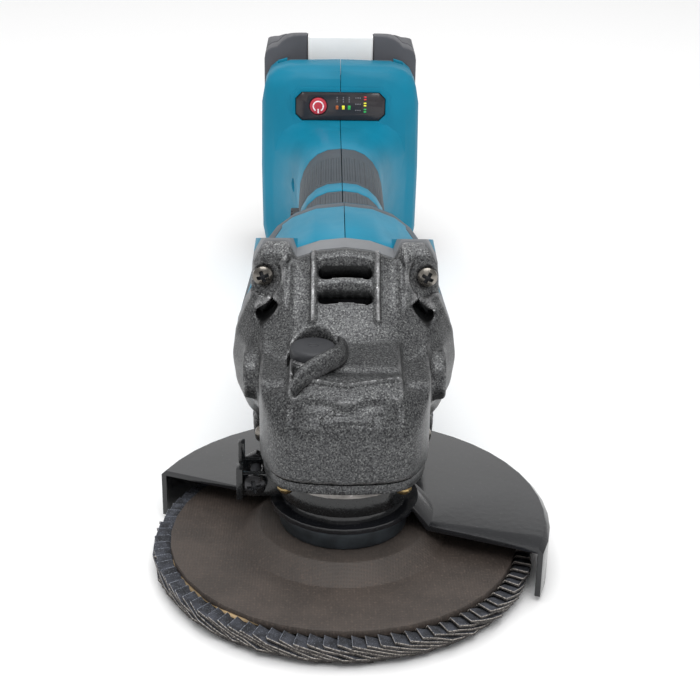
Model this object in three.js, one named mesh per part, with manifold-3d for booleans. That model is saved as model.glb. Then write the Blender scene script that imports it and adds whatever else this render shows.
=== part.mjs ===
// A cordless angle grinder with a flap disc, as an assembly of separate pieces.
// Millimetres, +Z up. The spindle turns about Z, the tool's long axis is +Y, and the
// disc end faces -Y. Heights below are over the surface that the tool rests on; the
// whole tool is then lowered so that the origin is the lower end of the spindle.
import * as THREE from "three";
import { mergeVertices } from "three/addons/utils/BufferGeometryUtils.js";
import Module from "manifold-3d";

const wasm = await Module();
wasm.setup();

// ---------------------------------------------------------------- clearances
const GAP = 0.3; // between neighbouring pieces
const FIT = 0.2; // radial, between coaxial turned pieces
const CLEAR = 0.6; // around a piece that moves past another

// ---------------------------------------------------------------- disc and spindle
const DISC_RADIUS = 62.5;
const FLAP_COUNT = 90;
const FLAP_TOOTH = 0.9;
const FLAP_DEPTH = 7.3;
const FLAP_RIM = 9.5;
const FLAP_CHAMFER = 3.6; // worn off the lower outer edge of the flaps
const FLAP_INNER_RADIUS = 38;
const PLATE_RADIUS = DISC_RADIUS - 5.5;
const PLATE_THICKNESS = 2.8;
const PLATE_HUB_RISE = 5.6;
const PLATE_HUB_RADIUS = 28;
const PLATE_SLOPE = 6;
const FLANGE_RADIUS = 21;
const FLANGE_HEIGHT = 6.1;
const NUT_RADIUS = 19;
const NUT_HEIGHT = 6.7;
const SPINDLE_END = 4;
const SPINDLE_THREAD_RADIUS = 6.85;
const SPINDLE_SHOULDER_RADIUS = 9.2;
const SPINDLE_RADIUS = 6;
const SPINDLE_TOP_RADIUS = 3;

// ---------------------------------------------------------------- bearings
const LOWER_BEARING_RADIUS = 16;
const LOWER_BEARING_WIDTH = 10;
const UPPER_BEARING_RADIUS = 6;
const UPPER_BEARING_WIDTH = 4.6;
const FRONT_BEARING_RADIUS = 11;
const FRONT_BEARING_WIDTH = 7;
const REAR_BEARING_RADIUS = 9.5;
const REAR_BEARING_WIDTH = 6;

// ---------------------------------------------------------------- motor line
const AXIS_HEIGHT = 61.5; // height of the motor's axis
const PINION_TEETH = 9;
const CROWN_TEETH = 28;
const TOOTH_INNER = 14.2;
const TOOTH_OUTER = 20.2;
const TOOTH_ADDENDUM = 0.045; // per mm of distance from where the two gear axes cross
const TOOTH_DEDENDUM = 0.07;
const ROTOR_SHAFT_RADIUS = 4;
const PINION_BORE_RADIUS = 2.8;
const FAN_RADIUS = 29.5;
const FAN_BLADES = 11;
const ROTOR_RADIUS = 15.5;
const ROTOR_LENGTH = 30;
const STATOR_RADIUS = 27.5;
const MOTOR_AIR_GAP = 0.7;

// ---------------------------------------------------------------- gear head
const HEAD_HALF_WIDTH = 27.2;
const HEAD_NOSE = 26; // from the spindle's axis to the front of the head
const HEAD_LIP = 41.8; // height of the head's lower edge
const HEAD_RIDGE_HALF = 17.5;
const HEAD_BACK = 33; // where the head ends and the baffle ring starts
const FLANGE_BACK_RADIUS = 37.6;
const FLANGE_THICKNESS = 3.5;
const UNDERSIDE = 28; // lowest height of the head's rear flange
const SCREW_X = 27;
const SCREW_RISE = 28.8; // of the four body screws, up and down from the motor's axis
const LUG_RISE = 40.3; // of the screw lugs' tops from the motor's axis
const GEAR_CAVITY_RADIUS = 22.3;
const HANDLE_BOSS_Y = 15;
const HANDLE_BOSS_RADIUS = 8.5;
const HANDLE_BOSS_REACH = 33;
const HANDLE_HOLE_RADIUS = 4.2;
const BUTTON_X = -10.2;
const BUTTON_Y = 4.5;
const BUTTON_RADIUS = 7.4;
const BUTTON_TOP = 75.9;
const BUTTON_THICKNESS = 4.6;
const BUTTON_TRAVEL = 3;
const PIN_RADIUS = 1.8;

// ---------------------------------------------------------------- bearing box and guard
const NECK_RADIUS = 19;
const NECK_BOTTOM = 27.6;
const BOX_FLANGE_THICKNESS = 3.2;
const BRIGHT_RING_RADIUS = 22.6;
const BOX_SCREW_OFFSET = 18.3;
const GUARD_TOP = 19.4;
const GUARD_SHEET = 1.8;
const GUARD_RADIUS = DISC_RADIUS + 3.4 + GUARD_SHEET;
const GUARD_SKIRT_BOTTOM = 2;
const GUARD_TURN = -22.2; // degrees, of the guard's open edge about the spindle
const GUARD_STEP_HEIGHT = 6;
const COLLAR_WALL = 1.1;
const COLLAR_TOP = 35.4;
const BAND_WALL = 1.4;
const BAND_BOTTOM = 28.4;
const BAND_TOP = 35.2;
const EAR_REACH = 34.5;
const EAR_FRONT_Y = -6;
const EAR_REAR_Y = 4;
const EAR_WALL = 2.2;
const CLAMP_SCREW_X = -28.8;
const CLAMP_SCREW_Z = 32;

// ---------------------------------------------------------------- body
const BAFFLE_LENGTH = 9.4;
const WALL = 2.5;
const SEAM = 0.3; // between the two halves of the body
const RUBBER = 1.5;
const BODY_SEGMENTS = 24;
const FOOT_FRONT = 264;
const FOOT_BACK = 292;
const FOOT_HALF_WIDTH = 38.2;
const FOOT_TOP = 107.2;
const FOOT_BOTTOM = 9;
const GRIP_HALF_WIDTH = 18.6;
const GRIP_TOP = 85.5;
const GRIP_BOTTOM = 37.5;
const BODY_SCREW_RADIUS = 1.6;
const BODY_SCREW_SINK = 5;

// ---------------------------------------------------------------- controls
const PANEL_HALF_WIDTH = 21.3;
const PANEL_HALF_HEIGHT = 6.75;
const PANEL_HEIGHT = 89;
const PANEL_THICKNESS = 3;
const BEZEL = 2.4;
const BEZEL_RISE = 1.4;
const POWER_X = -10.6;
const POWER_RADIUS = 4.1;
const SWITCH_Y = 134;
const SWITCH_Z = 70;
const SWITCH_LENGTH = 26;
const SWITCH_HEIGHT = 11;
const SWITCH_TRAVEL = 8;

// ---------------------------------------------------------------- battery
const BATTERY_FRONT = 296;
const BATTERY_BACK = 345;
const BATTERY_SPLIT = 308;
const BATTERY_HALF_WIDTH = 37.6;
const BATTERY_TOP = 116.4;
const BATTERY_WALL = 2.4;
const RAIL_HALF_WIDTH = 30;
const RAIL_NECK_HALF = 25.5;
const RAIL_THICKNESS = 3.6;
const RAIL_BOTTOM = 14;
const RAIL_TOP = 104;
const LATCH_HALF_WIDTH = 16;
const LATCH_BOTTOM = 97;
const LATCH_TRAVEL = 3.2;
const CELL_RADIUS = 9.1;

// ---------------------------------------------------------------- shape helpers
const AXES = {
  X: new THREE.Matrix4().makeBasis(vec(0, 1, 0), vec(0, 0, 1), vec(1, 0, 0)),
  Y: new THREE.Matrix4().makeBasis(vec(1, 0, 0), vec(0, 0, 1), vec(0, -1, 0)),
  Z: new THREE.Matrix4(),
};
const TURNING = {
  X: new THREE.Matrix4().makeBasis(vec(0, 1, 0), vec(1, 0, 0), vec(0, 0, -1)),
  Y: new THREE.Matrix4(),
  Z: new THREE.Matrix4().makeBasis(vec(1, 0, 0), vec(0, 0, 1), vec(0, -1, 0)),
};

function vec(x, y, z) {
  return new THREE.Vector3(x, y, z);
}

// A closed geometry as a solid that faces outwards.
function solid(geometry) {
  const bare = geometry.clone();
  bare.deleteAttribute("normal");
  bare.deleteAttribute("uv");
  const merged = mergeVertices(bare, 1e-4);
  const point = merged.attributes.position;
  const index = [];
  let volume = 0;
  for (let i = 0; i < merged.index.count; i += 3) {
    const [a, b, c] = [0, 1, 2].map((k) => merged.index.getX(i + k));
    if (a === b || b === c || c === a) continue;
    const [p, q, r] = [a, b, c].map((k) => vec().fromBufferAttribute(point, k));
    volume += p.dot(q.cross(r));
    index.push(a, b, c);
  }
  if (volume < 0) index.reverse();
  return new wasm.Manifold(
    new wasm.Mesh({
      numProp: 3,
      vertProperties: new Float32Array(point.array),
      triVerts: new Uint32Array(index),
    }),
  );
}

function join(...parts) {
  return parts.flat().reduce((whole, part) => whole.add(part));
}

function cut(body, ...tools) {
  return tools.flat().reduce((rest, tool) => rest.subtract(tool), body);
}

function common(...parts) {
  return parts.flat().reduce((whole, part) => whole.intersect(part));
}

function box(x0, x1, y0, y1, z0, z1) {
  const geometry = new THREE.BoxGeometry(x1 - x0, y1 - y0, z1 - z0);
  geometry.translate((x0 + x1) / 2, (y0 + y1) / 2, (z0 + z1) / 2);
  return solid(geometry);
}

// A round bar along an axis, from one station to another, centred at the point given.
function bar(axis, radius, from, to, at = vec(0, 0, 0), segments = 24, endRadius = radius) {
  const profile = [
    [0, from],
    [radius, from],
    [endRadius, to],
    [0, to],
  ];
  return turned(axis, profile, at, segments);
}

function tube(axis, inner, outer, from, to, at, segments = 24) {
  return turned(axis, ring(inner, outer, from, to), at, segments);
}

// The closed profile of a plain ring.
function ring(inner, outer, from, to) {
  return [
    [inner, from],
    [outer, from],
    [outer, to],
    [inner, to],
    [inner, from],
  ];
}

// A profile of [radius, station] pairs turned about an axis.
function turned(axis, profile, at = vec(0, 0, 0), segments = 32) {
  const points = profile.map(([r, s]) => new THREE.Vector2(r, s));
  const geometry = new THREE.LatheGeometry(points, segments);
  geometry.applyMatrix4(TURNING[axis]);
  geometry.translate(at.x, at.y, at.z);
  return solid(geometry);
}

// An outline pushed along an axis. The outline's own x and y are Y and Z for X,
// X and Z for Y, and X and Y for Z.
function prism(axis, outline, from, to, bevel = 0, curveSegments = 4) {
  const shape = outline instanceof THREE.Shape
    ? outline
    : new THREE.Shape(outline.map(([a, b]) => new THREE.Vector2(a, b)));
  const geometry = new THREE.ExtrudeGeometry(shape, {
    depth: to - from - 2 * bevel,
    curveSegments,
    bevelEnabled: bevel > 0,
    bevelThickness: bevel,
    bevelSize: bevel,
    bevelOffset: -bevel,
    bevelSegments: 1,
  });
  geometry.translate(0, 0, axis === "Y" ? bevel - to : from + bevel);
  geometry.applyMatrix4(AXES[axis]);
  return solid(geometry);
}

// A rectangle with round corners, as a shape.
function roundedRectangle(x0, x1, y0, y1, r) {
  const s = new THREE.Shape();
  s.moveTo(x0 + r, y0);
  s.lineTo(x1 - r, y0);
  s.absarc(x1 - r, y0 + r, r, -Math.PI / 2, 0);
  s.lineTo(x1, y1 - r);
  s.absarc(x1 - r, y1 - r, r, 0, Math.PI / 2);
  s.lineTo(x0 + r, y1);
  s.absarc(x0 + r, y1 - r, r, Math.PI / 2, Math.PI);
  s.lineTo(x0, y0 + r);
  s.absarc(x0 + r, y0 + r, r, Math.PI, 1.5 * Math.PI);
  return s;
}

// A rectangle with cut corners.
function chamferedRectangle(x0, x1, y0, y1, c) {
  return [
    [x0 + c, y0],
    [x1 - c, y0],
    [x1, y0 + c],
    [x1, y1 - c],
    [x1 - c, y1],
    [x0 + c, y1],
    [x0, y1 - c],
    [x0, y0 + c],
  ];
}

// A body along Y through superellipse sections, each
// {y, half, top, bottom, power}; inset moves its skin inwards.
function lofted(sections, inset = 0, segments = BODY_SEGMENTS) {
  const last = sections.length - 1;
  const geometry = new THREE.CylinderGeometry(1, 1, 1, segments, last);
  const point = geometry.attributes.position;
  for (let i = 0; i < point.count; i++) {
    const s = sections[Math.round((0.5 - point.getY(i)) * last)];
    const [x, z] = [point.getX(i), point.getZ(i)];
    const onAxis = Math.hypot(x, z) < 0.5;
    const middle = (s.top + s.bottom) / 2;
    const swell = (value, reach) =>
      onAxis || Math.abs(value) < 1e-9
        ? 0
        : Math.sign(value) * Math.abs(value) ** (2 / s.power) * (reach - inset);
    point.setXYZ(i, swell(x, s.half), s.y, middle + swell(z, (s.top - s.bottom) / 2));
  }
  return solid(geometry);
}

function moved(part, matrix) {
  return solid(geometryOf(part).applyMatrix4(matrix));
}

function turnedAboutZ(part, degrees) {
  return moved(part, new THREE.Matrix4().makeRotationZ(THREE.MathUtils.degToRad(degrees)));
}

function geometryOf(part) {
  const mesh = part.getMesh();
  const geometry = new THREE.BufferGeometry();
  geometry.setAttribute("position", new THREE.BufferAttribute(mesh.vertProperties, 3));
  geometry.setIndex(new THREE.BufferAttribute(mesh.triVerts, 1));
  return geometry;
}

// ---------------------------------------------------------------- materials
const finish = (color, roughness, metalness) => () =>
  new THREE.MeshStandardMaterial({ color, roughness, metalness });
const CAST = finish(0x4c4c4e, 0.55, 0.6);
const STEEL = finish(0xa8a8aa, 0.3, 1);
const DARK_STEEL = finish(0x33363a, 0.4, 0.8);
const BLACK_PAINT = finish(0x1c1d20, 0.2, 0.3);
const BLUE = finish(0x2a7d99, 0.4, 0);
const GREY_PLASTIC = finish(0x86888c, 0.55, 0);
const BLACK_PLASTIC = finish(0x35363a, 0.6, 0);
const RUBBER_GREY = finish(0x50575c, 0.8, 0);
const FIBRE = finish(0x544d47, 0.85, 0);
const ABRASIVE = finish(0x3e3b3c, 0.95, 0);
const WHITE = finish(0xf0efec, 0.45, 0);
const RED = finish(0xc8303c, 0.4, 0);
const COPPER = finish(0xb06a3a, 0.4, 0.9);
const BOARD = finish(0x1f5a3a, 0.5, 0);
const CELL = finish(0x3d7fa8, 0.5, 0);

const grinder = new THREE.Group();
grinder.position.z = -SPINDLE_END;

function add(name, part, material) {
  const geometry = geometryOf(part);
  geometry.computeVertexNormals();
  const mesh = new THREE.Mesh(geometry, material());
  mesh.name = name;
  grinder.add(mesh);
}

// ---------------------------------------------------------------- shared places
const ON_MOTOR_AXIS = vec(0, 0, AXIS_HEIGHT);
const PLATE_RIM_TOP = FLAP_DEPTH + GAP + PLATE_THICKNESS;
const PLATE_HUB_TOP = PLATE_RIM_TOP + PLATE_HUB_RISE;
const FLANGE_BOTTOM = PLATE_HUB_TOP + GAP;
const FLANGE_TOP = FLANGE_BOTTOM + FLANGE_HEIGHT;
const ARBOR_RADIUS = SPINDLE_THREAD_RADIUS + GAP;
const PITCH_SLOPE = PINION_TEETH / CROWN_TEETH;
const CROWN_TOP = AXIS_HEIGHT - TOOTH_OUTER * (PITCH_SLOPE + TOOTH_DEDENDUM);
const CROWN_WEB_TOP = 54;
const CROWN_BOTTOM = 44.6;
const CAVITY_ROOF = 60;
const UPPER_BEARING_BOTTOM = CAVITY_ROOF + 1.5;
const LOWER_BEARING_BOTTOM = NECK_BOTTOM + 2;
const FRONT_BEARING_START = TOOTH_OUTER + 1;
const FRONT_BEARING_END = FRONT_BEARING_START + FRONT_BEARING_WIDTH;
const BAFFLE_START = HEAD_BACK + GAP;
const BAFFLE_END = BAFFLE_START + BAFFLE_LENGTH;
const BODY_START = BAFFLE_END + GAP;
const ROTOR_START = BODY_START + 2;
const ROTOR_END = ROTOR_START + ROTOR_LENGTH;
const REAR_BEARING_START = ROTOR_END + 3;
const REAR_BEARING_END = REAR_BEARING_START + REAR_BEARING_WIDTH;
const SCREW_HEAD_SEAT = HEAD_BACK - FLANGE_THICKNESS;
const BODY_SCREW_PLACES = [-1, 1].flatMap((side) =>
  [1, -1].map((rise) => vec(side * SCREW_X, 0, AXIS_HEIGHT + rise * SCREW_RISE)),
);

// ---------------------------------------------------------------- disc, flange, nut
// The abrasive flaps: overlapping leaves under the plate that stand proud of its rim.
function flapRing() {
  const tooth = (i) => {
    const angle = (Math.PI * i) / FLAP_COUNT;
    const radius = DISC_RADIUS - (i % 2) * FLAP_TOOTH;
    return new THREE.Vector2(radius * Math.cos(angle), radius * Math.sin(angle));
  };
  const outline = new THREE.Shape(Array.from({ length: 2 * FLAP_COUNT }, (_, i) => tooth(i)));
  outline.holes.push(new THREE.Path().absarc(0, 0, FLAP_INNER_RADIUS, 0, 2 * Math.PI, true));
  const plateRoom = bar("Z", PLATE_RADIUS + GAP, FLAP_DEPTH, FLAP_RIM + 1, undefined, 36);
  const wear = turned(
    "Z",
    [
      [0, 0],
      [DISC_RADIUS - 1.3 * FLAP_CHAMFER, 0],
      [DISC_RADIUS + 0.1, FLAP_CHAMFER],
      [DISC_RADIUS + 0.1, FLAP_RIM],
      [0, FLAP_RIM],
    ],
    undefined,
    48,
  );
  return common(cut(prism("Z", outline, 0, FLAP_RIM, 0, 16), plateRoom), wear);
}

function backingPlate() {
  const foot = PLATE_HUB_RADIUS + PLATE_SLOPE;
  const t = PLATE_THICKNESS;
  return turned(
    "Z",
    [
      [ARBOR_RADIUS + GAP, PLATE_HUB_TOP - t],
      [PLATE_HUB_RADIUS - 1, PLATE_HUB_TOP - t],
      [foot - 1, PLATE_RIM_TOP - t],
      [PLATE_RADIUS, PLATE_RIM_TOP - t],
      [PLATE_RADIUS, PLATE_RIM_TOP],
      [foot, PLATE_RIM_TOP],
      [PLATE_HUB_RADIUS, PLATE_HUB_TOP],
      [ARBOR_RADIUS + GAP, PLATE_HUB_TOP],
      [ARBOR_RADIUS + GAP, PLATE_HUB_TOP - t],
    ],
    undefined,
    36,
  );
}

function innerFlange() {
  return turned(
    "Z",
    [
      [ARBOR_RADIUS, FLANGE_BOTTOM],
      [FLANGE_RADIUS, FLANGE_BOTTOM],
      [FLANGE_RADIUS, FLANGE_TOP - 1],
      [FLANGE_RADIUS - 1, FLANGE_TOP],
      [ARBOR_RADIUS, FLANGE_TOP],
      [ARBOR_RADIUS, FLANGE_BOTTOM],
    ],
    undefined,
    28,
  );
}

// The lower clamping nut, with four blind holes for a pin spanner.
function lockNut() {
  const top = PLATE_HUB_TOP - PLATE_THICKNESS - GAP;
  const body = turned("Z", ring(ARBOR_RADIUS, NUT_RADIUS, top - NUT_HEIGHT, top), undefined, 28);
  const holes = [0, 1, 2, 3].map((i) => {
    const angle = (Math.PI * (2 * i + 1)) / 4;
    const at = vec(15 * Math.cos(angle), 15 * Math.sin(angle), 0);
    return bar("Z", 2.4, top - NUT_HEIGHT - 1, top - 2.5, at, 8);
  });
  return cut(body, holes);
}

// ---------------------------------------------------------------- spindle line
function spindle() {
  const shoulder = FLANGE_TOP + GAP;
  const bearing = LOWER_BEARING_BOTTOM - FIT;
  const journal = CAVITY_ROOF - 2;
  return turned(
    "Z",
    [
      [0, SPINDLE_END],
      [SPINDLE_THREAD_RADIUS - 1, SPINDLE_END],
      [SPINDLE_THREAD_RADIUS, SPINDLE_END + 1],
      [SPINDLE_THREAD_RADIUS, shoulder],
      [SPINDLE_SHOULDER_RADIUS, shoulder],
      [SPINDLE_SHOULDER_RADIUS, bearing],
      [SPINDLE_RADIUS, bearing],
      [SPINDLE_RADIUS, journal],
      [SPINDLE_TOP_RADIUS, journal],
      [SPINDLE_TOP_RADIUS, UPPER_BEARING_BOTTOM + UPPER_BEARING_WIDTH],
      [0, UPPER_BEARING_BOTTOM + UPPER_BEARING_WIDTH],
    ],
    undefined,
    20,
  );
}

function retainingRing() {
  const top = CROWN_BOTTOM - GAP;
  return turned("Z", ring(SPINDLE_RADIUS + FIT, 10, top - 1.6, top), undefined, 20);
}

// A tooth that tapers to the point where the gear axes cross. near and far are its ends
// along the gear's face, half is half its angle at root and tip, and the two slopes give
// the distance of root and tip from the mating axis's plane.
function taperedTooth(near, far, root, tip, halfRoot, halfTip, place) {
  const geometry = new THREE.BoxGeometry(1, 1, 1);
  const point = geometry.attributes.position;
  for (let i = 0; i < point.count; i++) {
    const along = point.getX(i) > 0 ? far : near;
    const isTip = point.getZ(i) > 0;
    const angle = Math.sign(point.getY(i)) * (isTip ? halfTip : halfRoot);
    const p = place(along, isTip ? tip : root, angle);
    point.setXYZ(i, p.x, p.y, p.z);
  }
  return geometry;
}

// Bevel gear on the spindle: teeth on its upper face, four holes for the lock pin.
function crownGear() {
  const rootSlope = PITCH_SLOPE + TOOTH_DEDENDUM;
  const tipSlope = PITCH_SLOPE - TOOTH_ADDENDUM;
  const rootAt = (r) => AXIS_HEIGHT - r * rootSlope;
  const blank = turned(
    "Z",
    [
      [SPINDLE_RADIUS + FIT, CROWN_BOTTOM],
      [16, CROWN_BOTTOM],
      [TOOTH_OUTER, CROWN_BOTTOM + 4],
      [TOOTH_OUTER, CROWN_TOP],
      [TOOTH_INNER, rootAt(TOOTH_INNER)],
      [TOOTH_INNER - 0.4, CROWN_WEB_TOP],
      [SPINDLE_RADIUS + FIT, CROWN_WEB_TOP],
      [SPINDLE_RADIUS + FIT, CROWN_BOTTOM],
    ],
    undefined,
    20,
  );
  const place = (r, slope, angle) =>
    vec(r * Math.cos(angle), r * Math.sin(angle), AXIS_HEIGHT - r * slope);
  const pitch = (2 * Math.PI) / CROWN_TEETH;
  const sunk = rootSlope + 0.03;
  const one = solid(
    taperedTooth(TOOTH_INNER, TOOTH_OUTER, sunk, tipSlope, 0.3 * pitch, 0.13 * pitch, place),
  );
  // A tooth space faces the pinion, which lies towards +Y.
  const first = 90 + 180 / CROWN_TEETH;
  const teeth = Array.from({ length: CROWN_TEETH }, (_, i) =>
    turnedAboutZ(one, first + (360 * i) / CROWN_TEETH),
  );
  const pinCircle = Math.hypot(BUTTON_X, BUTTON_Y);
  const pinAngle = Math.atan2(BUTTON_Y, BUTTON_X);
  const holes = [0, 1, 2, 3].map((i) => {
    const angle = pinAngle + (Math.PI * i) / 2;
    const at = vec(pinCircle * Math.cos(angle), pinCircle * Math.sin(angle), 0);
    return bar("Z", PIN_RADIUS + 0.5, CROWN_WEB_TOP - 5, CROWN_WEB_TOP + 1, at, 12);
  });
  return cut(join(blank, teeth), holes);
}

// Bevel pinion on the rotor shaft, with a tooth that points down at the crown gear.
function pinion() {
  const rootSlope = PITCH_SLOPE - TOOTH_DEDENDUM;
  const tipSlope = PITCH_SLOPE + TOOTH_ADDENDUM;
  const blank = turned(
    "Y",
    [
      [PINION_BORE_RADIUS + FIT, TOOTH_INNER],
      [TOOTH_INNER * rootSlope, TOOTH_INNER],
      [TOOTH_OUTER * rootSlope, TOOTH_OUTER],
      [PINION_BORE_RADIUS + FIT, TOOTH_OUTER],
      [PINION_BORE_RADIUS + FIT, TOOTH_INNER],
    ],
    ON_MOTOR_AXIS,
    18,
  );
  const pitch = (2 * Math.PI) / PINION_TEETH;
  const teeth = Array.from({ length: PINION_TEETH }, (_, i) => {
    const turn = -Math.PI / 2 + i * pitch;
    const place = (y, slope, angle) =>
      vec(
        y * slope * Math.cos(turn + angle),
        y,
        AXIS_HEIGHT + y * slope * Math.sin(turn + angle),
      );
    const sunk = rootSlope - 0.03;
    return solid(
      taperedTooth(TOOTH_INNER, TOOTH_OUTER, sunk, tipSlope, 0.3 * pitch, 0.1 * pitch, place),
    );
  });
  return join(blank, teeth);
}

function rotorShaft() {
  return turned(
    "Y",
    [
      [0, TOOTH_INNER - 0.6],
      [PINION_BORE_RADIUS, TOOTH_INNER - 0.6],
      [PINION_BORE_RADIUS, TOOTH_OUTER + FIT],
      [ROTOR_SHAFT_RADIUS, TOOTH_OUTER + FIT],
      [ROTOR_SHAFT_RADIUS, ROTOR_END + 2],
      [ROTOR_SHAFT_RADIUS - 1, ROTOR_END + 2],
      [ROTOR_SHAFT_RADIUS - 1, REAR_BEARING_END],
      [0, REAR_BEARING_END],
    ],
    ON_MOTOR_AXIS,
    20,
  );
}

// A ball bearing as its closed outer form.
function bearing(axis, bore, outer, from, width, at = undefined) {
  return turned(axis, ring(bore, outer, from, from + width), at, 20);
}

// Cooling fan on the rotor: a disc with radial blades towards the head.
function fan() {
  const disc = BAFFLE_END - 5;
  const front = FRONT_BEARING_END + 1.2;
  const hub = tube("Y", ROTOR_SHAFT_RADIUS + FIT, 8, front, disc, ON_MOTOR_AXIS, 20);
  const plate = tube("Y", 7, FAN_RADIUS, disc - 1.6, disc, ON_MOTOR_AXIS, 22);
  const blades = Array.from({ length: FAN_BLADES }, (_, i) => {
    const blade = new THREE.BoxGeometry(FAN_RADIUS - 14.5, disc - front - 1, 1.6);
    blade.translate((FAN_RADIUS + 13.5) / 2, (front + disc) / 2, 0);
    blade.rotateY((2 * Math.PI * i) / FAN_BLADES);
    blade.translate(0, 0, AXIS_HEIGHT);
    return solid(blade);
  });
  return join(plate, hub, blades);
}

function frontMotorBearing() {
  const bore = ROTOR_SHAFT_RADIUS + FIT;
  return bearing("Y", bore, FRONT_BEARING_RADIUS, FRONT_BEARING_START, FRONT_BEARING_WIDTH, ON_MOTOR_AXIS);
}

function rearMotorBearing() {
  const bore = ROTOR_SHAFT_RADIUS - 1 + FIT;
  return bearing("Y", bore, REAR_BEARING_RADIUS, REAR_BEARING_START, REAR_BEARING_WIDTH, ON_MOTOR_AXIS);
}

function rotorCore() {
  return tube("Y", ROTOR_SHAFT_RADIUS + FIT, ROTOR_RADIUS, ROTOR_START, ROTOR_END, ON_MOTOR_AXIS, 20);
}

// The stator: a laminated ring with six poles that carry the windings.
function stator() {
  const inner = ROTOR_RADIUS + MOTOR_AIR_GAP;
  const [from, to] = [ROTOR_START + 1, ROTOR_END - 1];
  const yoke = tube("Y", STATOR_RADIUS - 4.5, STATOR_RADIUS, from, to, ON_MOTOR_AXIS, 20);
  const poles = Array.from({ length: 6 }, (_, i) => {
    const pole = new THREE.BoxGeometry(STATOR_RADIUS - inner - 2, to - from, 7.5);
    pole.translate((STATOR_RADIUS + inner - 2) / 2 + 0.3, (from + to) / 2, 0);
    pole.rotateY((Math.PI * i) / 3);
    pole.translate(0, 0, AXIS_HEIGHT);
    return solid(pole);
  });
  return join(yoke, poles);
}

// ---------------------------------------------------------------- gear head
// The head seen from above, from its nose back to the given station.
function headPlan(back, inset = 0) {
  const [w, n] = [HEAD_HALF_WIDTH - inset, HEAD_NOSE - inset];
  const s = new THREE.Shape();
  s.moveTo(w, back);
  s.lineTo(w, -2);
  s.quadraticCurveTo(w - 0.4, -13, 0.8 * w, -0.77 * n);
  s.quadraticCurveTo(0.7 * w, -0.91 * n, 0.48 * w, -0.955 * n);
  s.quadraticCurveTo(0.2 * w, -n, 0, -n);
  s.quadraticCurveTo(-0.2 * w, -n, -0.48 * w, -0.955 * n);
  s.quadraticCurveTo(-0.7 * w, -0.91 * n, -0.8 * w, -0.77 * n);
  s.quadraticCurveTo(-w + 0.4, -13, -w, -2);
  s.lineTo(-w, back);
  return s;
}

// The rear slope of the head, from its foot behind the lock button to its top at the flange.
const SLOPE_FOOT = { y: 13, z: 77.6 };
const SLOPE_TOP = { y: HEAD_BACK - 1, z: 98.6 };

// The metal over the air duct, and the vent slots: middle and width of each along Y.
const DUCT_ROOF = 4.1;
const VENT_HALF_WIDTH = 8.8;
const VENTS = [
  { y: 26.1, width: 3.5 },
  { y: 20.2, width: 3.3 },
];
const SIDE_VENT = { x: 25.4, y: 20, z: 80.8, width: 3.2 };

// The raised middle of the head from the side: nose, two steps, plateau, rear slope.
const RIDGE_PROFILE = [
  [HEAD_BACK, HEAD_LIP],
  [HEAD_BACK, SLOPE_TOP.z],
  [SLOPE_TOP.y, SLOPE_TOP.z],
  [SLOPE_FOOT.y, SLOPE_FOOT.z],
  [SLOPE_FOOT.y - 1.4, 76],
  [-16.5, 72.4],
  [-19.6, 68.2],
  [-24, 60.3],
  [-HEAD_NOSE, 55.2],
  [-HEAD_NOSE - 1, HEAD_LIP],
];

// The lower shoulders on both sides of the ridge.
const SHOULDER_PROFILE = [
  [HEAD_BACK, HEAD_LIP],
  [HEAD_BACK, 84],
  [20, 78],
  [10, 71],
  [-8, 68.5],
  [-18, 64],
  [-24, 58.5],
  [-HEAD_NOSE, 54],
  [-HEAD_NOSE - 1, HEAD_LIP],
];

// The part of the head that widens to the round rear flange.
function headCone() {
  const r = FLANGE_BACK_RADIUS;
  const h = AXIS_HEIGHT;
  return lofted(
    [
      { y: -2, half: 26, top: h + 8, bottom: h - 20, power: 2.6 },
      { y: 8, half: 28, top: h + 14, bottom: h - 21, power: 2.4 },
      { y: 20, half: 33.5, top: h + 26, bottom: h - 26, power: 2.2 },
      { y: 27, half: 36.6, top: h + 35, bottom: h - 36, power: 2 },
      { y: SCREW_HEAD_SEAT, half: r, top: h + r, bottom: h - r, power: 2 },
      { y: HEAD_BACK, half: r, top: h + r, bottom: h - r, power: 2 },
    ],
    0,
    24,
  );
}

// One screw lug at a corner of the motor: side and rise are 1 or -1, and grow widens it.
function lugOutline(side, rise, grow) {
  const centre = [24, 30];
  const spread = 1 + grow / 5;
  return [
    [16, 33],
    [18.5, LUG_RISE],
    [26.3, LUG_RISE],
    [30.6, 32],
    [31.2, 24],
    [26, 18],
  ].map(([x, z]) => [
    side * (centre[0] + spread * (x - centre[0])),
    AXIS_HEIGHT + rise * (centre[1] + spread * (z - centre[1])),
  ]);
}

function lugs(from, to, grow = 0) {
  return [-1, 1].flatMap((side) =>
    [1, -1].map((rise) => prism("Y", lugOutline(side, rise, grow), from, to)),
  );
}

// The room in front of the sloping top edge of the cast lugs.
function lugChamfer() {
  const front = SCREW_HEAD_SEAT - 1;
  const top = AXIS_HEIGHT + LUG_RISE;
  const room = [
    [front, top - 7],
    [HEAD_BACK, top],
    [HEAD_BACK, top + 30],
    [front, top + 30],
  ];
  return prism("X", room, -60, 60);
}

// The room over the lugs behind the head, which fall away towards the back.
function lugFall() {
  const top = AXIS_HEIGHT + LUG_RISE;
  const back = HEAD_BACK + 30;
  const room = [
    [HEAD_BACK, top],
    [back, top - 10.5],
    [back, top + 30],
    [HEAD_BACK, top + 30],
  ];
  return prism("X", room, -60, 60);
}

function alongScrews(radius, from, to, segments = 12) {
  return BODY_SCREW_PLACES.map((at) => bar("Y", radius, from, to, at, segments));
}

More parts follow.
